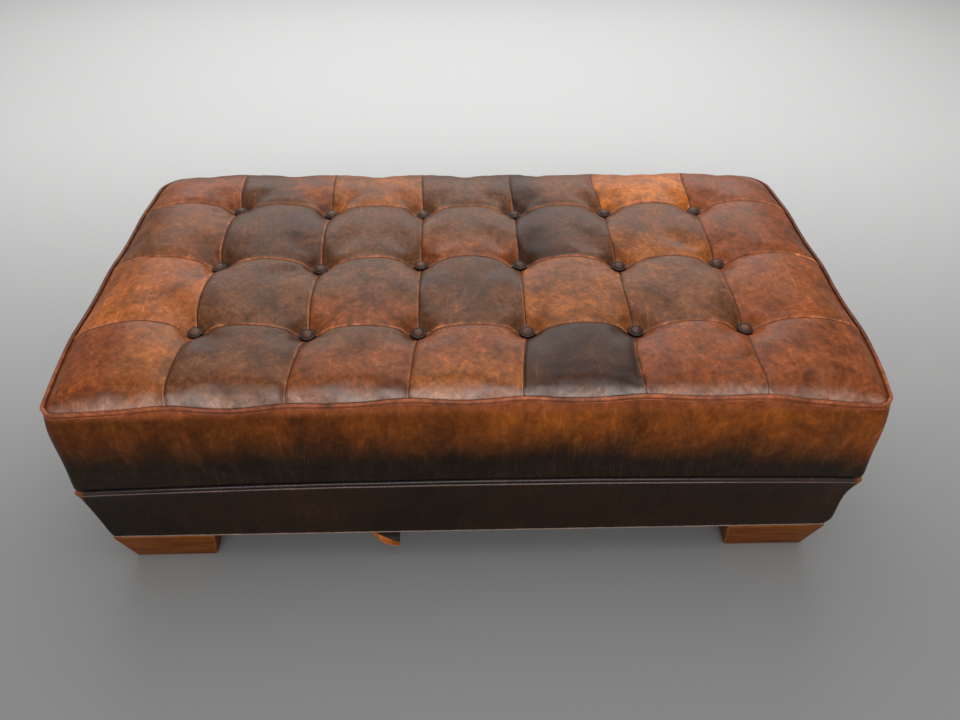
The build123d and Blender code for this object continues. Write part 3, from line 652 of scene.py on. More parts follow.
# Torn strip of the cover's leather that hangs under the front rail, curled
# forward at its ragged lower end.
TAB_X, TAB_Y, TAB_WIDTH = -0.154, -0.2975, 0.060
TAB_TOP, TAB_DROP, TAB_CURL = 0.0785, 0.032, 0.012
TAB_TURN = math.radians(112)
TAB_COLUMNS, TAB_HANG, TAB_BEND = 14, 7, 8
TAB_TORN, TAB_RAGGED, TAB_NARROWED = 0.50, 0.06, 0.12
TAB_TWIST, LIP_SLANT = 0.004, 0.16
tab_rows = TAB_HANG + TAB_BEND
tab_length = TAB_DROP + TAB_CURL * TAB_TURN
points, lips, lengths = [], [], []
for row in range(tab_rows + 1):
    down = row / tab_rows
    for column in range(TAB_COLUMNS + 1):
        s = column / TAB_COLUMNS - 0.5
        torn = TAB_RAGGED * abs(noise.noise(Vector((s * 7, 4.2, 0)))) + TAB_TORN * (0.5 - s) ** 2.8
        run = tab_length * (1 - torn) * down
        turn = max(run - TAB_DROP, 0) / TAB_CURL
        y = TAB_Y - TAB_CURL * (1 - math.cos(turn)) - TAB_TWIST * s * row / TAB_BEND
        z = TAB_TOP - min(run, TAB_DROP) - TAB_CURL * math.sin(turn)
        points.append((TAB_X + s * TAB_WIDTH * (1 - TAB_NARROWED * down), y, z))
        lips.append(down - LIP_SLANT * s)
        if row == tab_rows:
            lengths.append(run)
torn_tab = piece_of("torn_tab", points, [face[::-1] for face in grid_faces(TAB_COLUMNS, tab_rows)])
note(torn_tab, "lip", lambda point: lips[point])
finish_with(torn_tab, "SOLIDIFY", thickness=COVER_LEATHER, offset=0.0)
finish_with(torn_tab, "SUBSURF", levels=1, render_levels=1)


def raw_hide(tree, place):
    """Near-black hide, deepened as painted shade under the rail, with its orange flesh side turned out along
    the torn lip and painted bright there as its lit edge.
    """
    broad = clouds(tree, place, 60.0, 5.0)
    # Orange flesh side of the lip, painted bright as its lit edge too
    flesh = ramp(tree, broad, (0.36, (0.30, 0.075, 0.010)), (0.60, (0.48, 0.135, 0.016)))
    lip = ramp(tree, noted(tree, "lip"), (0.76, 0.0), (0.80, 1.0))
    # Above the lip the hide is near-black, deepened as painted shade under the rail
    return mix(tree, lip, (0.010, 0.006, 0.004), flesh)


torn_tab.data.materials.append(waxed_leather("raw_tab_hide", raw_hide, 0.55, 0.2))
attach(torn_tab, "base")
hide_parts("leather_tab")


# Hinges, folding stays and their fixings: zinc-plated steel, pressed and riveted.
# The bolts under the feet are the same steel.
def plated_steel(name, colour, gloss):
    """Zinc plate: dull metal with soft clouds and fine rolling lines."""
    material, tree, surface = shader(name)
    place = on_piece(tree)
    dull = clouds(tree, place, 70.0, 5.0, 0.6)
    rolled = clouds(tree, stretched(tree, place, (900.0, 60.0, 60.0)), 1.0, 2.0)
    tone = times(tree, colour, ramp(tree, dull, (0.3, 0.72), (0.7, 1.08)))
    rough = rescale(tree, dull, 0.0, 1.0, gloss - 0.08, gloss + 0.14)
    feed(tree, surface, Base_Color=tone, Metallic=1.0, Roughness=rough)
    bump(tree, surface, rolled, 0.0001, 0.4)
    return material


zinc = plated_steel("zinc_plated_steel", (0.44, 0.42, 0.38), 0.40)
bright_pin = plated_steel("bright_pin_steel", (0.55, 0.54, 0.52), 0.32)
dress(zinc, "hinge_base_leaves", "hinge_lid_leaves", "stay_base_brackets", "stay_lid_brackets", "foot_bolts")
dress(zinc, "stay_lower_left", "stay_lower_right", "stay_upper_left", "stay_upper_right")
dress(bright_pin, "hinge_pins", "hinge_base_screws", "hinge_lid_screws")
dress(bright_pin, "stay_base_screws", "stay_lid_screws")


# Lid frame: boards and corner blocks like the box, under a plywood seat board.
# The same black cloth lines its underside.
dress(long_boards, "lid_rail_front", "lid_rail_back")
dress(short_boards, "lid_rail_left", "lid_rail_right")
dress(upright_blocks, "lid_corner_blocks")
dress(plywood, "seat_board")
LID_LINING_RIM = 0.2214
lid_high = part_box("lid_lining")[1]
lid_x, lid_y = lid_high.x - WALL_ROOM, lid_high.y - WALL_ROOM
lid_tray = lining_tray("lid_tray", lid_x, lid_y, lid_high.z - WALL_ROOM, LID_LINING_RIM, -0.002)
bpy.ops.object.mode_set(mode="EDIT")
bpy.ops.mesh.select_all(action="SELECT")
bpy.ops.mesh.normals_make_consistent(inside=False)
bpy.ops.object.mode_set(mode="OBJECT")
lid_tray.data.materials.append(lining_cloth)
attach(lid_tray, "lid")
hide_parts("lid_lining")


# Side band of the lid: one long strip of hide over wadding, rounded in towards
# the top and turned under the lid frame, burnished almost black along its lower part, with painted shadow
# along its bottom edge.
TOP_PIPING_Z = 0.3838
SEAM_PULL, SIDE_PULL, PULL_REACH = 0.0060, 0.0036, 0.045
FRONT_SEAM_ENDS = (-0.429, -0.266, -0.094, 0.068, 0.243, 0.417)
BACK_SEAM_ENDS = (-0.429, -0.259, -0.091, 0.081, 0.244, 0.426)
SIDE_SEAM_ENDS = (-0.168, 0.0, 0.168)
BAND_HALF_X, BAND_HALF_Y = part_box("side_band")[1].xy
LEFT_RIM_DROOP, RIGHT_RIM_DROOP, BACK_RIM_DROOP = 0.0075, 0.0040, 0.0060
BACK_RIM_FALL = 0.0040
FRONT_SPREAD = 0.0030
FRONT_RIM_END = 0.57
FRONT_RIM = (
    (-0.60, -0.003), (-0.43, -0.003), (-0.35, -0.009), (-0.27, -0.007), (-0.20, -0.003), (-0.13, 0.0),
    (0.0, 0.0), (0.24, 0.004), (0.33, 0.006), (0.42, 0.003), (0.48, 0.0), (0.55, -0.007), (0.60, -0.007),
)
LEFT_BULGE = ((-0.33, 0.012), (-0.26, 0.0155), (-0.20, 0.0165), (-0.10, 0.014), (0.0, 0.0095), (0.10, 0.005),
              (0.20, 0.001), (0.33, -0.002))
RIGHT_BULGE = ((-0.33, 0.0065), (-0.26, 0.014), (-0.20, 0.0165), (-0.10, 0.013), (0.0, 0.011), (0.10, 0.007),
               (0.20, 0.0035), (0.33, -0.002))


def drawn(point, half_x, half_y, pull):
    """A plan point moved in where the leather is drawn in between the corners of a long side."""
    across, along = point.x / half_x, point.y / half_y
    return point.x, point.y - math.copysign(pull * abs(along) ** 3 * (1 - across**2), point.y)


def spread(x, y):
    """How far the stuffed top stands out at its ends, most at the front."""
    bulge = eased_profile(LEFT_BULGE if x < 0 else RIGHT_BULGE, y)
    return math.copysign(1, x) * bulge * (abs(x) / BAND_HALF_X) ** 3


def rim_height(x, y):
    """Height of the top edge, pulled up where each seam of the top runs out to it."""
    if abs(y) / BAND_HALF_Y > abs(x) / BAND_HALF_X:
        ends, along, pull = FRONT_SEAM_ENDS if y < 0 else BACK_SEAM_ENDS, x, SEAM_PULL
    else:
        ends, along, pull = SIDE_SEAM_ENDS, y, SIDE_PULL
    lift = max(math.exp(-(((along - end) / PULL_REACH) ** 2)) for end in ends)
    droop = BACK_RIM_DROOP if y > 0 else LEFT_RIM_DROOP if x < 0 else RIGHT_RIM_DROOP
    droop *= (abs(x) / BAND_HALF_X) ** 5 * (abs(y) / BAND_HALF_Y) ** 3
    sag = eased_profile(FRONT_RIM, max(min(x, FRONT_RIM_END), -FRONT_RIM_END)) * front_share(y)
    sag -= BACK_RIM_FALL * front_share(-y)
    return TOP_PIPING_Z + pull * lift - droop + sag + 0.0006 * creases(x, y, 0, 0.2, 4)


# The band's section from its turned-in edge round to the inside: height, inset and how far it is drawn in
BAND_RETURN = 0.0288
BAND_UNDER = (
    (0.2192, BAND_RETURN, 0.0), (0.2190, 0.0125, 0.0), (0.2203, 0.0095, 0.0), (0.2190, 0.0040, 0.0042),
    (0.2200, 0.0010, 0.0042),
)
BAND_WALL = (
    (0.2222, 0.0000, 0.0042), (0.2300, -0.0004, 0.0042), (0.2400, -0.0006, 0.0042), (0.2520, -0.0006, 0.0042),
    (0.2640, -0.0004, 0.0043), (0.2760, -0.0001, 0.0045), (0.2880, 0.0002, 0.0047), (0.3000, 0.0006, 0.0050),
    (0.3120, 0.0011, 0.0055), (0.3240, 0.0019, 0.0061), (0.3350, 0.0029, 0.0067), (0.3450, 0.0040, 0.0073),
    (0.3540, 0.0052, 0.0079), (0.3620, 0.0064, 0.0083), (0.3690, 0.0076, 0.0086), (0.3750, 0.0087, 0.0089),
    (0.3795, 0.0096, 0.0090),
)
BAND_INSIDE = (
    (0.3830, 0.0125, 0.0090), (0.3800, 0.0165, 0.0090), (0.3726, 0.0175, 0.0090), (0.3715, 0.0255, 0.0),
    (0.2980, 0.0255, 0.0), (0.2972, 0.0099, 0.0), (0.2213, 0.0099, 0.0), (0.2210, BAND_RETURN, 0.0),
)
LOW_CORNER, HIGH_CORNER, BACK_CORNER, INNER_CORNER = 0.010, 0.022, 0.045, 0.004
LID_BOTTOM, BAND_TALL, SPLIT_REACH = 0.219, 0.165, 0.07
SHOULDER, SHOULDER_TALL = 0.300, 0.080
BAND_SWELL = 0.0007
rings = []
for level in (*BAND_UNDER, *BAND_WALL, *BAND_INSIDE):
    z, inset, draw = level
    half_x, half_y = BAND_HALF_X - inset, BAND_HALF_Y - inset
    up = near_split = near_rim = 0.0
    corners = (INNER_CORNER,)
    if draw:
        up = max((z - LID_BOTTOM) / BAND_TALL, 0.0)
        near_split = max(1 - (z - LID_BOTTOM) / SPLIT_REACH, 0.0) ** 2
        near_rim = max((z - SHOULDER) / SHOULDER_TALL, 0.0) ** 2
        front_corner = LOW_CORNER + up * (HIGH_CORNER - LOW_CORNER)
        corners = front_corner, LOW_CORNER + up**2 * (BACK_CORNER - LOW_CORNER)
    wider = up**1.5
    ring = []
    for point, out in plan_ring(half_x, half_y, *corners):
        if level in BAND_WALL:
            point = point + BAND_SWELL * creases(point.x, point.y, z, 0.13, 5) * out
        if inset == BAND_RETURN:
            point = round_block(point, half_x, half_y)
        x, y = drawn(point, half_x, half_y, draw)
        rise = near_split * front_rise(x, y) + near_rim * (rim_height(x, y) - TOP_PIPING_Z)
        flare = math.copysign(near_split * END_FLARE * (abs(x) / BAND_HALF_X) ** 9, x)
        ring.append((x + wider * spread(x, y) + flare, y - wider * FRONT_SPREAD * front_share(y), z + rise))
    rings.append(ring)
side_cover = skin("side_cover", rings, closed=True)
# Marks the turned-under edge, where the gap's shadow is painted
note(side_cover, "gap_shade", lambda point: 1.0 if point // len(rings[0]) <= len(BAND_UNDER) else 0.0)
finish_with(side_cover, "SUBSURF", levels=1, render_levels=1)


def burnished_hide(tree, place):
    """Orange-brown hide, darker to the left, rubbed almost black along its lower part, with painted shadow of
    the gap above the piping along its turned-under bottom edge.
    """
    broad = clouds(tree, stretched(tree, place, (1, 1, 0.6)), 8.0, 6.0, 0.65, 0.3)
    tone = ramp(
        tree, broad,
        (0.30, (0.070, 0.020, 0.006)), (0.46, (0.210, 0.054, 0.009)), (0.68, (0.350, 0.092, 0.013)),
    )
    spot = add(tree, "SeparateXYZ", Vector=place).outputs
    tone = times(tree, tone, rescale(tree, spot["X"], -0.6, 0.3, 0.37, 0.98))
    height = work_out(tree, "MULTIPLY_ADD", broad, 0.06, spot["Z"])
    height = work_out(tree, "ADD", height, rescale(tree, spot["X"], 0.2, 0.6, 0.0, 0.036))
    colour = mix(tree, rescale(tree, height, 0.296, 0.385, eased=True), (0.0175, 0.0102, 0.0055), tone)
    # Painted shadow: the gap between the lid and the box piping, near-black along the bottom edge
    gap_shade = ramp(tree, noted(tree, "gap_shade"), (0.62, 0.0), (0.88, 1.0))
    colour = mix(tree, gap_shade, colour, (0.002, 0.0014, 0.001))
    return mix(tree, rescale(tree, spot["Z"], 0.362, 0.378, eased=True), colour, (0.28, 0.075, 0.022))


band_hide = waxed_leather("burnished_band_hide", burnished_hide, 0.40, 0.30, 0.11, stretch=0.8, even=0.3)
side_cover.data.materials.append(band_hide)
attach(side_cover, "lid")
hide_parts("side_band", "side_wadding")


# Tufted top: 28 patches of waxed hide sewn edge to edge over wadding and foam.
# Each crossing of the seams is pulled down by a button, so every patch puffs up.
PATCH_COLUMNS, PATCH_ROWS = 7, 4
TUFT_PITCH = 0.168
RIM_HALF_X, RIM_HALF_Y = 0.5930, 0.3105
RIM_CORNER, BACK_RIM_CORNER = 0.014, 0.040
RIM_DRAW, RIM_TUCK = 0.0090, 0.0022
BUTTON_SEAT = 0.3850
SEAM_ARCH, ARCH_ROUND = 0.0240, 0.92
CROWN, CROWN_ROUND = 0.0060, 0.50
SIDE_ROLL, FRONT_ROLL, BACK_ROLL = (0.50, 1.6, 1.6), (0.27, 2.0, 1.05), (0.56, 2.1, 2.1)
BACK_ROW_FALL, CORNER_FALL = 0.0070, 0.0110
SEAM_BOW = (0.0, -0.003, -0.001, -0.001, -0.003, -0.009, -0.009, 0.0)
LEFT_ROW_BOW, RIGHT_ROW_BOW = (0.0, 0.013, 0.013, 0.006, 0.0), (0.0, 0.008, 0.011, 0.006, 0.0)
ROW_BOW = (0.0, 0.003, 0.003, 0.002, 0.0)
ROW_WANDER = (  # mm, front row first
    (7, -2, -1, -1, -1, 3), (3, -4, 5, 3, -2, 4), (7, -5, -7, -9, -6, 0),
)
SEAM_STEPS = (0, 0.014, 0.036, 0.07, 0.13, 0.21, 0.32, 0.45, 0.6, 0.74, 0.87)


def net_point(i, j):
    """Crossing i, j of the seam lines, counted from the front left corner."""
    y_rows = (-RIM_HALF_Y, -TUFT_PITCH, 0.0, TUFT_PITCH, RIM_HALF_Y)
    if i in (0, PATCH_COLUMNS):
        return Vector((math.copysign(RIM_HALF_X, i - 1), y_rows[j]))
    if j in (0, PATCH_ROWS):
        return Vector(((BACK_SEAM_ENDS if j else FRONT_SEAM_ENDS)[i - 1], y_rows[j]))
    return Vector((TUFT_PITCH * (i - 3.5), y_rows[j] + 0.001 * ROW_WANDER[j - 1][i - 1]))


def rounded(point):
    """A point of the square-cornered net moved into the rounded, drawn-in outline of the top."""
    x, y = point
    corner = RIM_CORNER if y < 0 else BACK_RIM_CORNER
    a = (abs(x) - RIM_HALF_X + corner) / corner
    b = (abs(y) - RIM_HALF_Y + corner) / corner
    if a > 0 and b > 0:
        x = math.copysign(RIM_HALF_X - corner * (1 - a * math.sqrt(1 - b * b / 2)), x)
        y = math.copysign(RIM_HALF_Y - corner * (1 - b * math.sqrt(1 - a * a / 2)), y)
    x, y = drawn(Vector((x, y)), RIM_HALF_X, RIM_HALF_Y, RIM_DRAW)
    return x + spread(x, y), y - FRONT_SPREAD * front_share(y)


def puff(t, first, last, roundness):
    """Rise across a patch between its seams. It stays up on a side that has no seam."""
    if first and t < 0.5 or last and t > 0.5:
        return 1.0
    return (1 - (2 * t - 1) ** 2) ** roundness


def roll_off(t, first, last, first_roll, last_roll):
    """Fall of the outer patches to the piping, tightest just above it."""
    t = t if first else 1 - t if last else 1.0
    reach, power, steepness = first_roll if first else last_roll
    return (1 - max(1 - t / reach, 0) ** power) ** (1 / steepness)


def pad_height(u, v, x, y):
    """Height of the stuffed top at patch coordinates u, v."""
    i, j = min(int(u), PATCH_COLUMNS - 1), min(int(v), PATCH_ROWS - 1)
    s, t = u - i, v - j
    left, right = i == 0, i == PATCH_COLUMNS - 1
    front, back = j == 0, j == PATCH_ROWS - 1
    arch_u, arch_v = puff(s, left, right, ARCH_ROUND), puff(t, front, back, ARCH_ROUND)
    roll = roll_off(s, left, right, SIDE_ROLL, SIDE_ROLL) * roll_off(t, front, back, FRONT_ROLL, BACK_ROLL)
    lift = SEAM_ARCH * (arch_u + arch_v - arch_u * arch_v)
    lift += CROWN * puff(s, left, right, CROWN_ROUND) * puff(t, front, back, CROWN_ROUND)
    if back:
        lift -= BACK_ROW_FALL * t
    if (left or right) and (front or back):
        lift -= CORNER_FALL * (1 - s if left else s) * (1 - t if front else t)
    ground = BUTTON_SEAT + (rim_height(x, y) - RIM_TUCK - BUTTON_SEAT) * (1 - roll)
    return ground + lift * roll


def pad_point(u, v):
    """A point of the stuffed top at patch coordinates u, v."""
    i, j = min(int(u), PATCH_COLUMNS - 1), min(int(v), PATCH_ROWS - 1)
    s, t = u - i, v - j
    near = net_point(i, j).lerp(net_point(i + 1, j), s)
    far = net_point(i, j + 1).lerp(net_point(i + 1, j + 1), s)
    rows = LEFT_ROW_BOW if i == 0 else RIGHT_ROW_BOW if i == PATCH_COLUMNS - 1 else ROW_BOW
    side_bow = 4 * t * (1 - t) * (SEAM_BOW[i] + (SEAM_BOW[i + 1] - SEAM_BOW[i]) * s)
    back_bow = 4 * s * (1 - s) * (rows[j] + (rows[j + 1] - rows[j]) * t)
    x, y = rounded(near.lerp(far, t) + Vector((side_bow, back_bow)))
    return Vector((x, y, pad_height(u, v, x, y)))


# The stuffing presses the sewn cover out. Buttons, piping and, more loosely,
# the seams hold it, and the slack of the hide gathers into soft folds.
SETTLE_STEPS, SETTLE_FRAMES = 12, 16
MOST_SETTLING = 0.0025
SEAM_GRIP, BUTTON_GRIP_REACH = 0.4, 0.016
STUFFED_HIDE = {
    "quality": 4, "mass": 0.6, "tension_stiffness": 18.0, "compression_stiffness": 18.0,
    "shear_stiffness": 8.0, "bending_stiffness": 2.0, "air_damping": 2.0, "use_pressure": True,
    "uniform_pressure_force": 2.0, "shrink_min": -0.03, "vertex_group_mass": "held",
}
buttons = [Vector(rounded(net_point(i, j))) for j in range(1, PATCH_ROWS) for i in range(1, PATCH_COLUMNS)]
last_i, last_j = PATCH_COLUMNS * SETTLE_STEPS, PATCH_ROWS * SETTLE_STEPS
steps_of = {}
knots = [(i, j) for j in range(last_j + 1) for i in range(last_i + 1)]
start = [pad_point(i / SETTLE_STEPS, j / SETTLE_STEPS) for i, j in knots]
trial = piece_of("trial_cover", start, grid_faces(last_i, last_j))
start = [vertex.co.copy() for vertex in trial.data.vertices]
held = trial.vertex_groups.new(name="held")
for number, (i, j) in enumerate(knots):
    grip = SEAM_GRIP if i % SETTLE_STEPS == 0 or j % SETTLE_STEPS == 0 else 0.0
    near_button = min((start[number].xy - button).length for button in buttons) < BUTTON_GRIP_REACH
    if i in (0, last_i) or j in (0, last_j) or near_button:
        grip = 1.0
    if grip:
        held.add([number], grip, "REPLACE")
cloth = trial.modifiers.new("stuffing", "CLOTH")
for key, value in STUFFED_HIDE.items():
    setattr(cloth.settings, key, value)
cloth.settings.effector_weights.gravity = 0.0
cloth.collision_settings.use_collision = False
cloth.point_cache.frame_start = 1
cloth.point_cache.frame_end = SETTLE_FRAMES
for number in range(1, SETTLE_FRAMES + 1):
    bpy.context.scene.frame_set(number)
bpy.ops.object.modifier_apply(modifier=cloth.name)
for knot, vertex, before in zip(knots, trial.data.vertices, start):
    step = vertex.co - before
    steps_of[knot] = step * min(MOST_SETTLING / max(step.length, 1e-9), 1.0)
bpy.data.objects.remove(trial)


def smooth_weights(t):
    """Weights of four neighbours for a smooth line between the middle two."""
    return (
        (-t + 2 * t**2 - t**3) / 2,
        (2 - 5 * t**2 + 3 * t**3) / 2,
        (t + 4 * t**2 - 3 * t**3) / 2,
        (t**3 - t**2) / 2,
    )


def settled(u, v):
    """How far the stuffing moved the cover at patch coordinates u, v."""
    step = Vector((0, 0, 0))
    if not steps_of:
        return step
    i, j = min(int(u * SETTLE_STEPS), last_i - 1), min(int(v * SETTLE_STEPS), last_j - 1)
    for q, weight_v in enumerate(smooth_weights(v * SETTLE_STEPS - j)):
        for p, weight_u in enumerate(smooth_weights(u * SETTLE_STEPS - i)):
            knot = min(max(i + p - 1, 0), last_i), min(max(j + q - 1, 0), last_j)
            step += weight_u * weight_v * steps_of[knot]
    return step


half_patch = [step / 2 for step in SEAM_STEPS]
one_patch = half_patch + [0.5] + [1 - step for step in half_patch[:0:-1]]
us = [i + t for i in range(PATCH_COLUMNS) for t in one_patch] + [float(PATCH_COLUMNS)]
vs = [j + t for j in range(PATCH_ROWS) for t in one_patch] + [float(PATCH_ROWS)]
grid = [(u, v) for v in vs for u in us]
points = [pad_point(u, v) + settled(u, v) for u, v in grid]
tufted_pad = piece_of("tufted_pad", points, grid_faces(len(us) - 1, len(vs) - 1))

# Sewn seams, pleats that run out from the buttons, and the hollow under each button
HOLLOW, HOLLOW_EDGE = 0.0125, 0.026
HOLLOW_FLOOR = BUTTON_SEAT + 0.0035
BUTTON_EDGE, SEAM_FADE = 0.012, 0.016
PLEATS, PLEAT_DEPTH, PLEAT_WIDTH = 7, 0.0012, 0.0042
PLEAT_DEEPEST, PLEAT_REACH, PLEAT_END = 0.020, 0.020, 0.075
PUCKER, PUCKER_FADE = 0.0006, 0.1
ROW_SEAM = ((-0.030, 0.0), (-0.018, -0.0004), (-0.007, -0.0022), (0.0, -0.0004), (0.007, 0.0018),
            (0.018, 0.0008), (0.035, 0.0))
COLUMN_SEAM = ((-0.035, 0.0), (-0.018, 0.0006), (-0.007, 0.0014), (0.0, -0.0004), (0.007, -0.0020),
               (0.018, -0.0003), (0.030, 0.0))


def seam_relief(profile, w, count):
    """Relief of the nearest inner seam, with w counted in patches across it."""
    nearest = round(w)
    return along_profile(profile, w - nearest) if 0 < nearest < count else 0.0


pleats = random.Random(5)
folds = [[(pleats.uniform(0, 2 * math.pi), pleats.uniform(0.5, 1.0)) for _ in range(PLEATS)] for _ in buttons]
normals = [vertex.normal.copy() for vertex in tufted_pad.data.vertices]
for (u, v), vertex, normal in zip(grid, tufted_pad.data.vertices, normals):
    spot = vertex.co.copy()
    reach, nearest = min(((spot.xy - button).length, k) for k, button in enumerate(buttons))
    clear = min(max((reach - BUTTON_EDGE) / SEAM_FADE, 0.0), 1.0)
    move = seam_relief(ROW_SEAM, v, PATCH_ROWS) * clear + seam_relief(COLUMN_SEAM, u, PATCH_COLUMNS) * clear
    if BUTTON_EDGE < reach < PLEAT_END:
        bearing = math.atan2(spot.y - buttons[nearest].y, spot.x - buttons[nearest].x)
        gather = 0.0
        for heading, size in folds[nearest]:
            turn = (bearing - heading + math.pi) % (2 * math.pi) - math.pi
            gather -= size * math.exp(-((turn * reach / PLEAT_WIDTH) ** 2))
        move += PLEAT_DEPTH * gather * math.exp(-(((reach - PLEAT_DEEPEST) / PLEAT_REACH) ** 2))
    from_edge = min(u, PATCH_COLUMNS - u, v, PATCH_ROWS - v)
    pucker = creases(spot.x + 3 * round(u + 0.5), spot.y, 0, 0.06, 6)
    move += PUCKER * pucker * min(from_edge / PUCKER_FADE, 1.0) * clear
    vertex.co = spot + move * normal
    if reach < HOLLOW_EDGE:
        vertex.co.z = HOLLOW_FLOOR + (vertex.co.z - HOLLOW_FLOOR) * ease(reach, HOLLOW, HOLLOW_EDGE)

# Patch tones, back row first: main tone, second tone, and where the second one shows
POLISH_AND_SHEEN_REACH = 0.13
TONES = {
    "honey": (0.500, 0.145, 0.022),
    "orange": (0.370, 0.098, 0.018),
    "tan": (0.275, 0.082, 0.018),
    "chestnut": (0.220, 0.053, 0.012),
    "russet": (0.195, 0.054, 0.014),
    "brown": (0.160, 0.054, 0.018),
    "taupe": (0.125, 0.047, 0.018),
    "umber": (0.095, 0.035, 0.013),
    "espresso": (0.050, 0.018, 0.0075),
    "black_brown": (0.030, 0.012, 0.006),
}
PATCHES = (
    ("chestnut", "taupe", "all"), ("umber", "russet", "right"), ("tan", "brown", "all"),
    ("taupe", "umber", "all"), ("brown", "espresso", "left"), ("honey", "tan", "all"),
    ("chestnut", "russet", "all"),
    ("brown", "russet", "all"), ("umber", "espresso", "all"), ("taupe", "umber", "all"),
    ("taupe", "russet", "low"), ("umber", "espresso", "left"), ("brown", "tan", "low"),
    ("chestnut", "brown", "all"),
    ("orange", "brown", "all"), ("taupe", "umber", "all"), ("taupe", "russet", "low"),
    ("umber", "taupe", "low"), ("tan", "brown", "all"), ("brown", "taupe", "all"), ("chestnut", "tan", "all"),
    ("chestnut", "tan", "right"), ("umber", "brown", "low"), ("russet", "taupe", "high"),
    ("russet", "tan", "low"), ("espresso", "black_brown", "all"), ("chestnut", "russet", "all"),
    ("chestnut", "russet", "all"),
)
# Front rim of the front row: a raised specular level, and a painted pale sheen
note(tufted_pad, "polish_and_painted_sheen", lambda point: max(1 - grid[point][1] / POLISH_AND_SHEEN_REACH, 0.0))
tufted_pad.data.uv_layers.new(name="seam_map")
tufted_pad.data.attributes.new("tone", "FLOAT_COLOR", "CORNER")
tufted_pad.data.attributes.new("stain", "FLOAT_COLOR", "CORNER")
tufted_pad.data.attributes.new("hide_shift", "FLOAT_VECTOR", "FACE")
tone, stain, hide_shift = (tufted_pad.data.attributes[name].data for name in ("tone", "stain", "hide_shift"))
seam_map = tufted_pad.data.uv_layers["seam_map"].data
for face in tufted_pad.data.polygons:
    corners = [grid[number] for number in face.vertices]
    column, row = (int(sum(corner[axis] for corner in corners) / len(corners)) for axis in (0, 1))
    main, second, where = PATCHES[(PATCH_ROWS - 1 - row) * PATCH_COLUMNS + column]
    hide_shift[face.index].vector = (1.7 * column + 0.3 * row, 0.9 * row - 0.4 * column, 2.1 * row + column)
    for loop, (u, v) in zip(face.loop_indices, corners):
        s, t = u - column, v - row
        strength = {"all": 0.42, "left": 0.9 - s, "right": s - 0.1, "low": 0.85 - t, "high": t - 0.1}[where]
        tone[loop].color = (*TONES[main], 1.0)
        stain[loop].color = (*TONES[second], min(max(strength, 0.0), 1.0))
        seam_map[loop].uv = (u, v)

# Close the pad: down beside the piping and under the foam
FOAM_HALF_X, FOAM_HALF_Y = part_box("foam_core")[1].xy
FOAM_BOTTOM, FOAM_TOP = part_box("foam_core")[0].z + 0.0004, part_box("foam_core")[1].z
PAD_INSET = 0.003
finish_with(tufted_pad, "SUBSURF", levels=1, render_levels=1)
body = bmesh.new()
body.from_mesh(tufted_pad.data)
ring = [next(edge for edge in body.edges if edge.is_boundary).link_loops[0].vert]
while len(ring) < 3 or ring[-1] != ring[0]:
    side = next(loop for loop in ring[-1].link_loops if loop.edge.is_boundary)
    ring.append(side.link_loop_next.vert)
ring.pop()
for level, half_x, half_y in (
    (FOAM_TOP + 0.0015, RIM_HALF_X - PAD_INSET, RIM_HALF_Y - PAD_INSET),
    (FOAM_TOP + 0.0004, FOAM_HALF_X, FOAM_HALF_Y),
    (FOAM_BOTTOM, FOAM_HALF_X, FOAM_HALF_Y),
):
    lower = []
    for vertex in ring:
        x = max(-half_x, min(half_x, vertex.co.x))
        y = max(-half_y, min(half_y, vertex.co.y))
        lower.append(body.verts.new((x, y, level)))
    for k in range(len(ring)):
        body.faces.new((ring[k - 1], lower[k - 1], lower[k], ring[k]))
    ring = lower
middle = body.verts.new((0, 0, FOAM_BOTTOM))
for k in range(len(ring)):
    body.faces.new((ring[k - 1], middle, ring[k]))
body.to_mesh(tufted_pad.data)
body.free()
tufted_pad.data.shade_smooth()

# Across each kind of seam: where its worn edge, also painted lighter as its highlight, and its dark joint
# with painted shade in the crevice show
SEAM_MARK = 0.03
EDGE_WEAR_AND_HIGHLIGHT = {
    "X": ((0.24, 0.0), (0.36, 0.8), (0.47, 1.0), (0.52, 0.0)),
    "Y": ((0.47, 0.0), (0.52, 1.0), (0.62, 0.8), (0.76, 0.0)),
}
SEAM_JOINT_AND_SHADE = {
    "X": ((0.50, 0.0), (0.54, 1.0), (0.62, 1.0), (0.68, 0.0)),
    "Y": ((0.36, 0.0), (0.41, 0.9), (0.45, 0.9), (0.49, 0.0)),
}


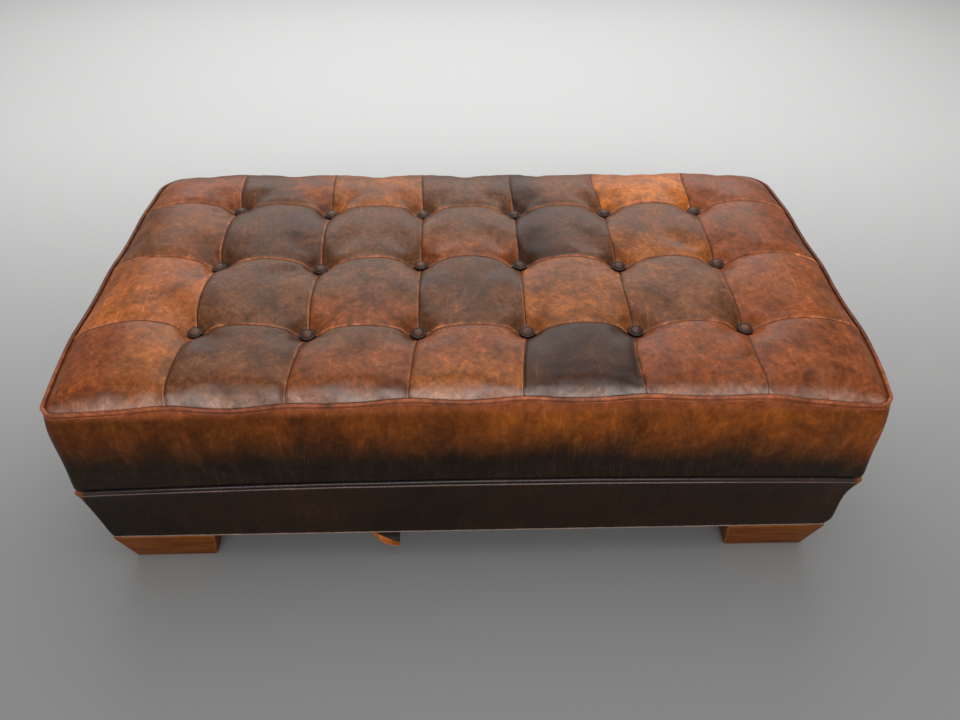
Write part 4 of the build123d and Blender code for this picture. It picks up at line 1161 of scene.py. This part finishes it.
def patch_tones(tree, place):
    """Each patch's two tones blended by its stains, darker close to each button, with dark joints and painted
    shade in the seam crevices, worn orange seam edges also painted lighter as their highlight, and a painted
    pale sheen along the front rim.
    """
    reach = work_out(tree, "ADD", clouds(tree, place, 11.0, 6.0, 0.62, 0.5), noted(tree, "stain", "Alpha"))
    share = rescale(tree, reach, 0.80, 1.22, eased=True)
    colour = mix(tree, share, noted(tree, "tone", "Color"), noted(tree, "stain", "Color"))
    seams = add(tree, "UVMap", {"uv_map": "seam_map"}).outputs["UV"]
    split = add(tree, "SeparateXYZ", Vector=seams).outputs
    wear = ramp(tree, clouds(tree, place, 75.0, 3.0), (0.36, 0.40), (0.60, 1.0))
    signed, inner, across = {}, {}, {}
    for axis, count in (("X", PATCH_COLUMNS), ("Y", PATCH_ROWS)):
        signed[axis] = work_out(tree, "WRAP", split[axis], 0.5, -0.5)
        inner[axis] = work_out(tree, "COMPARE", split[axis], count / 2, count / 2 - 0.5)
        across[axis] = rescale(tree, signed[axis], -SEAM_MARK, SEAM_MARK)
    turned = add(tree, "CombineXYZ", **signed).outputs["Vector"]
    from_button = add(tree, "VectorMath", {"operation": "LENGTH"}, Vector=turned).outputs["Value"]
    # Darker close to each button
    darker_near_buttons = ramp(tree, from_button, (0.06, 0.66), (0.11, 0.92), (0.20, 1.0))
    colour = mix(tree, inner["X"], colour, times(tree, colour, darker_near_buttons))
    # Seam edges: worn orange, and painted lighter as the highlight along their ridge
    for axis in "XY":
        worn = times(tree, ramp(tree, across[axis], *EDGE_WEAR_AND_HIGHLIGHT[axis]), inner[axis])
        colour = mix(tree, times(tree, wear, worn), colour, (0.46, 0.155, 0.060))
    # Seam crevices: the dark joint, deepened with painted shade
    for axis in "XY":
        joint_and_shade = times(tree, ramp(tree, across[axis], *SEAM_JOINT_AND_SHADE[axis]), inner[axis])
        colour = mix(tree, joint_and_shade, colour, (0.012, 0.006, 0.004))
    # Painted highlight: a pale sheen along the front rim
    painted_sheen = times(tree, ramp(tree, noted(tree, "polish_and_painted_sheen"), (0.25, 0.0), (0.85, 0.5)), wear)
    return mix(tree, painted_sheen, colour, (0.42, 0.26, 0.19))


PATCH_SHINE, POLISHED_SHINE = 0.26, 1.0
patch_hide = waxed_leather("waxed_patch_hide", patch_tones, 0.38, 0.48, PATCH_SHINE, "hide_shift")
tree = patch_hide.node_tree
shine = rescale(tree, noted(tree, "polish_and_painted_sheen"), 0.0, 1.0, PATCH_SHINE, POLISHED_SHINE)
feed(tree, tree.nodes["Principled BSDF"], Specular_IOR_Level=shine)
tufted_pad.data.materials.append(patch_hide)
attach(tufted_pad, "lid")
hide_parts("tufted_top", "foam_core")


# Buttons: domed metal shells covered in dark hide, with a gathered rim, pulled
# down by waxed twine to plastic anchors under the seat board.
BUTTON_RADIUS, BUTTON_RIM = 0.0122, 0.004
BUTTON_DOME = (
    (0.0012, 0.0006), (0.0012, -0.0006), (0.0010, 0.0012), (0.0022, 0.0019), (0.0026, 0.0012),
    (0.0022, 0.0004),
)
BUTTON_TILT = 0.10
bpy.ops.object.select_all(action="DESELECT")
bpy.ops.mesh.primitive_cylinder_add(
    vertices=32, radius=BUTTON_RADIUS, depth=BUTTON_RIM, location=(0, 0, BUTTON_RIM / 2)
)
button = bpy.context.object
bpy.ops.object.transform_apply(location=True, rotation=False, scale=False)
pick_faces(button, 1)
for inset, rise in BUTTON_DOME:
    bpy.ops.mesh.inset(thickness=inset)
    bpy.ops.transform.translate(value=(0, 0, rise))
bpy.ops.mesh.poke()
bpy.ops.mesh.select_all(action="SELECT")
bpy.ops.mesh.normals_make_consistent(inside=False)
bpy.ops.object.mode_set(mode="OBJECT")
button.data.shade_smooth()
finish_with(button, "SUBSURF", levels=1, render_levels=1)
spots = [vertex.co.copy() for vertex in button.data.vertices]
note(button, "lightened_top", lambda point: (
    1 - spots[point].xy.length / BUTTON_RADIUS if spots[point].z > BUTTON_RIM else 0.0
))
placed = []
for number, spot in enumerate(buttons):
    copy = put(f"button_{number}", button.data.copy())
    tilt = Matrix.Rotation(BUTTON_TILT * noise.noise(Vector((number, 2.5, 0))), 4, "X")
    copy.data.transform(Matrix.Translation((spot.x, spot.y, HOLLOW_FLOOR + 0.0004)) @ tilt)
    placed.append(copy)
bpy.data.objects.remove(button)
covered_buttons = join(*placed)
covered_buttons.name = "covered_buttons"


def button_hide(tree, place):
    """Dark brown hide, rubbed lighter on top of each button, with the gathered rim painted near-black as its
    shade.
    """
    broad = clouds(tree, place, 40.0, 4.0)
    lightened = ramp(tree, broad, (0.35, (0.042, 0.020, 0.012)), (0.65, (0.115, 0.044, 0.021)))
    top = ramp(tree, noted(tree, "lightened_top"), (0.22, 0.0), (0.42, 1.0))
    # Painted shade: the gathered rim near-black round the lighter top
    return mix(tree, top, (0.018, 0.0095, 0.007), lightened)


covered_buttons.data.materials.append(waxed_leather("button_hide", button_hide, 0.36, 0.2))
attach(covered_buttons, "lid")
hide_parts("tuft_buttons")
twine = wood("waxed_twine", (60, 60, 160), (0.40, 0.33, 0.22), (0.62, 0.54, 0.40), 0.7)
anchor = woven_cloth("anchor_plastic", (0.06, 0.06, 0.06), 0.003)
anchor.node_tree.nodes["Principled BSDF"].inputs["Sheen Weight"].default_value = 0.0
dress(twine, "button_ties")
dress(anchor, "tie_anchors")


# Piping round the top: red-brown hide over a thin cord, sewn between the band
# and the top. The fold of its seam shows below it as a second, thinner line.
TOP_PIPING, SEAM_FOLD = 0.0029, 0.0014
FOLD_DROP, FOLD_OUT = 0.0056, 0.0012
TOP_HALF_X, TOP_HALF_Y, TOP_CORNER = 0.599, 0.316, 0.020
TOP_LIFT = 0.0012
lines = ("top_piping", TOP_PIPING, 0.0, 0.0), ("seam_fold", SEAM_FOLD, FOLD_DROP, FOLD_OUT)
cords = []
for name, radius, drop, out in lines:
    half_x, half_y = TOP_HALF_X - TOP_PIPING + out, TOP_HALF_Y - TOP_PIPING + out
    path = []
    for point, facing in plan_ring(half_x, half_y, TOP_CORNER, BACK_CORNER):
        x, y = drawn(point, half_x, half_y, RIM_DRAW)
        z = rim_height(x, y) + TOP_LIFT - drop
        path.append((x + spread(x, y), y - FRONT_SPREAD * front_share(y), z))
    cords.append(piping(name, path, radius))
top_piping = join(*cords)


def piping_hide(tree, place):
    """Red-brown hide, lightest along the front and darker towards the back."""
    broad = clouds(tree, place, 30.0, 5.0, 0.65)
    colour = ramp(
        tree, broad,
        (0.32, (0.160, 0.041, 0.015)), (0.50, (0.310, 0.079, 0.026)), (0.72, (0.41, 0.124, 0.047)),
    )
    depth = add(tree, "SeparateXYZ", Vector=place).outputs["Y"]
    return times(tree, colour, rescale(tree, depth, -0.30, -0.16, 1.0, 0.42))


top_piping.data.materials.append(waxed_leather("red_piping_hide", piping_hide, 0.38, 0.2))
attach(top_piping, "lid")
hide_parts("top_welt")


# Stage: a plain pale floor under soft studio light, a broad panel overhead and
# two lower ones in front and behind, with pale surroundings.
bpy.ops.object.select_all(action="DESELECT")
bpy.ops.mesh.primitive_plane_add(size=24.0, location=(0, 0, -0.0005))
floor = bpy.context.object
floor.name = "floor"
floor_paint, tree, surface = shader("pale_floor")
depth = add(tree, "SeparateXYZ", Vector=on_piece(tree)).outputs["Y"]
shade = rescale(tree, depth, -0.5, 1.3, eased=True)
feed(tree, surface, Base_Color=ramp(tree, shade, (0.0, 0.26), (1.0, 0.66)), Roughness=0.8)
floor.data.materials.append(floor_paint)

world = bpy.data.worlds.new("pale_surroundings")
bpy.context.scene.world = world
world.use_nodes = True
feed(world.node_tree, world.node_tree.nodes["Background"], Color=(0.90, 0.89, 0.87, 1.0), Strength=0.33)


def panel(name, place, target, size, power):
    """A soft light panel that faces a point."""
    lamp = bpy.data.lights.new(name, "AREA")
    lamp.shape = "RECTANGLE"
    lamp.size, lamp.size_y = size
    lamp.energy = power
    light = put(name, lamp)
    light.location = place
    light.rotation_euler = (Vector(target) - Vector(place)).to_track_quat("-Z", "Y").to_euler()


panel("overhead_panel", (0.2, 0.2, 3.2), (0, 0, 0.3), (3.6, 2.4), 50)
panel("front_panel", (-0.1, -3.2, 1.95), (0, 0, 0.3), (3.4, 0.8), 54)
panel("back_panel", (0.0, 2.4, 1.7), (0, 0, 0.35), (4.0, 1.8), 42)
bpy.context.scene.view_settings.view_transform = "Standard"


# Camera: above the front of the ottoman, with the height, tilt and angle of
# view that the photograph was taken with.
CAMERA_PLACE = (-0.0243, -1.0394, 1.1745)
CAMERA_LENS, CAMERA_SENSOR = 28.5, 36.0
pitch, yaw, roll = (math.radians(angle) for angle in (43.94, 2.37, -0.985))
lens = bpy.data.cameras.new("camera")
lens.lens, lens.sensor_width, lens.sensor_fit = CAMERA_LENS, CAMERA_SENSOR, "HORIZONTAL"
camera = put("camera", lens)
level = Matrix.Rotation(-yaw, 4, "Z") @ Matrix.Rotation(math.pi / 2 - pitch, 4, "X")
camera.matrix_world = Matrix.Translation(CAMERA_PLACE) @ level @ Matrix.Rotation(-roll, 4, "Z")
bpy.context.scene.camera = camera
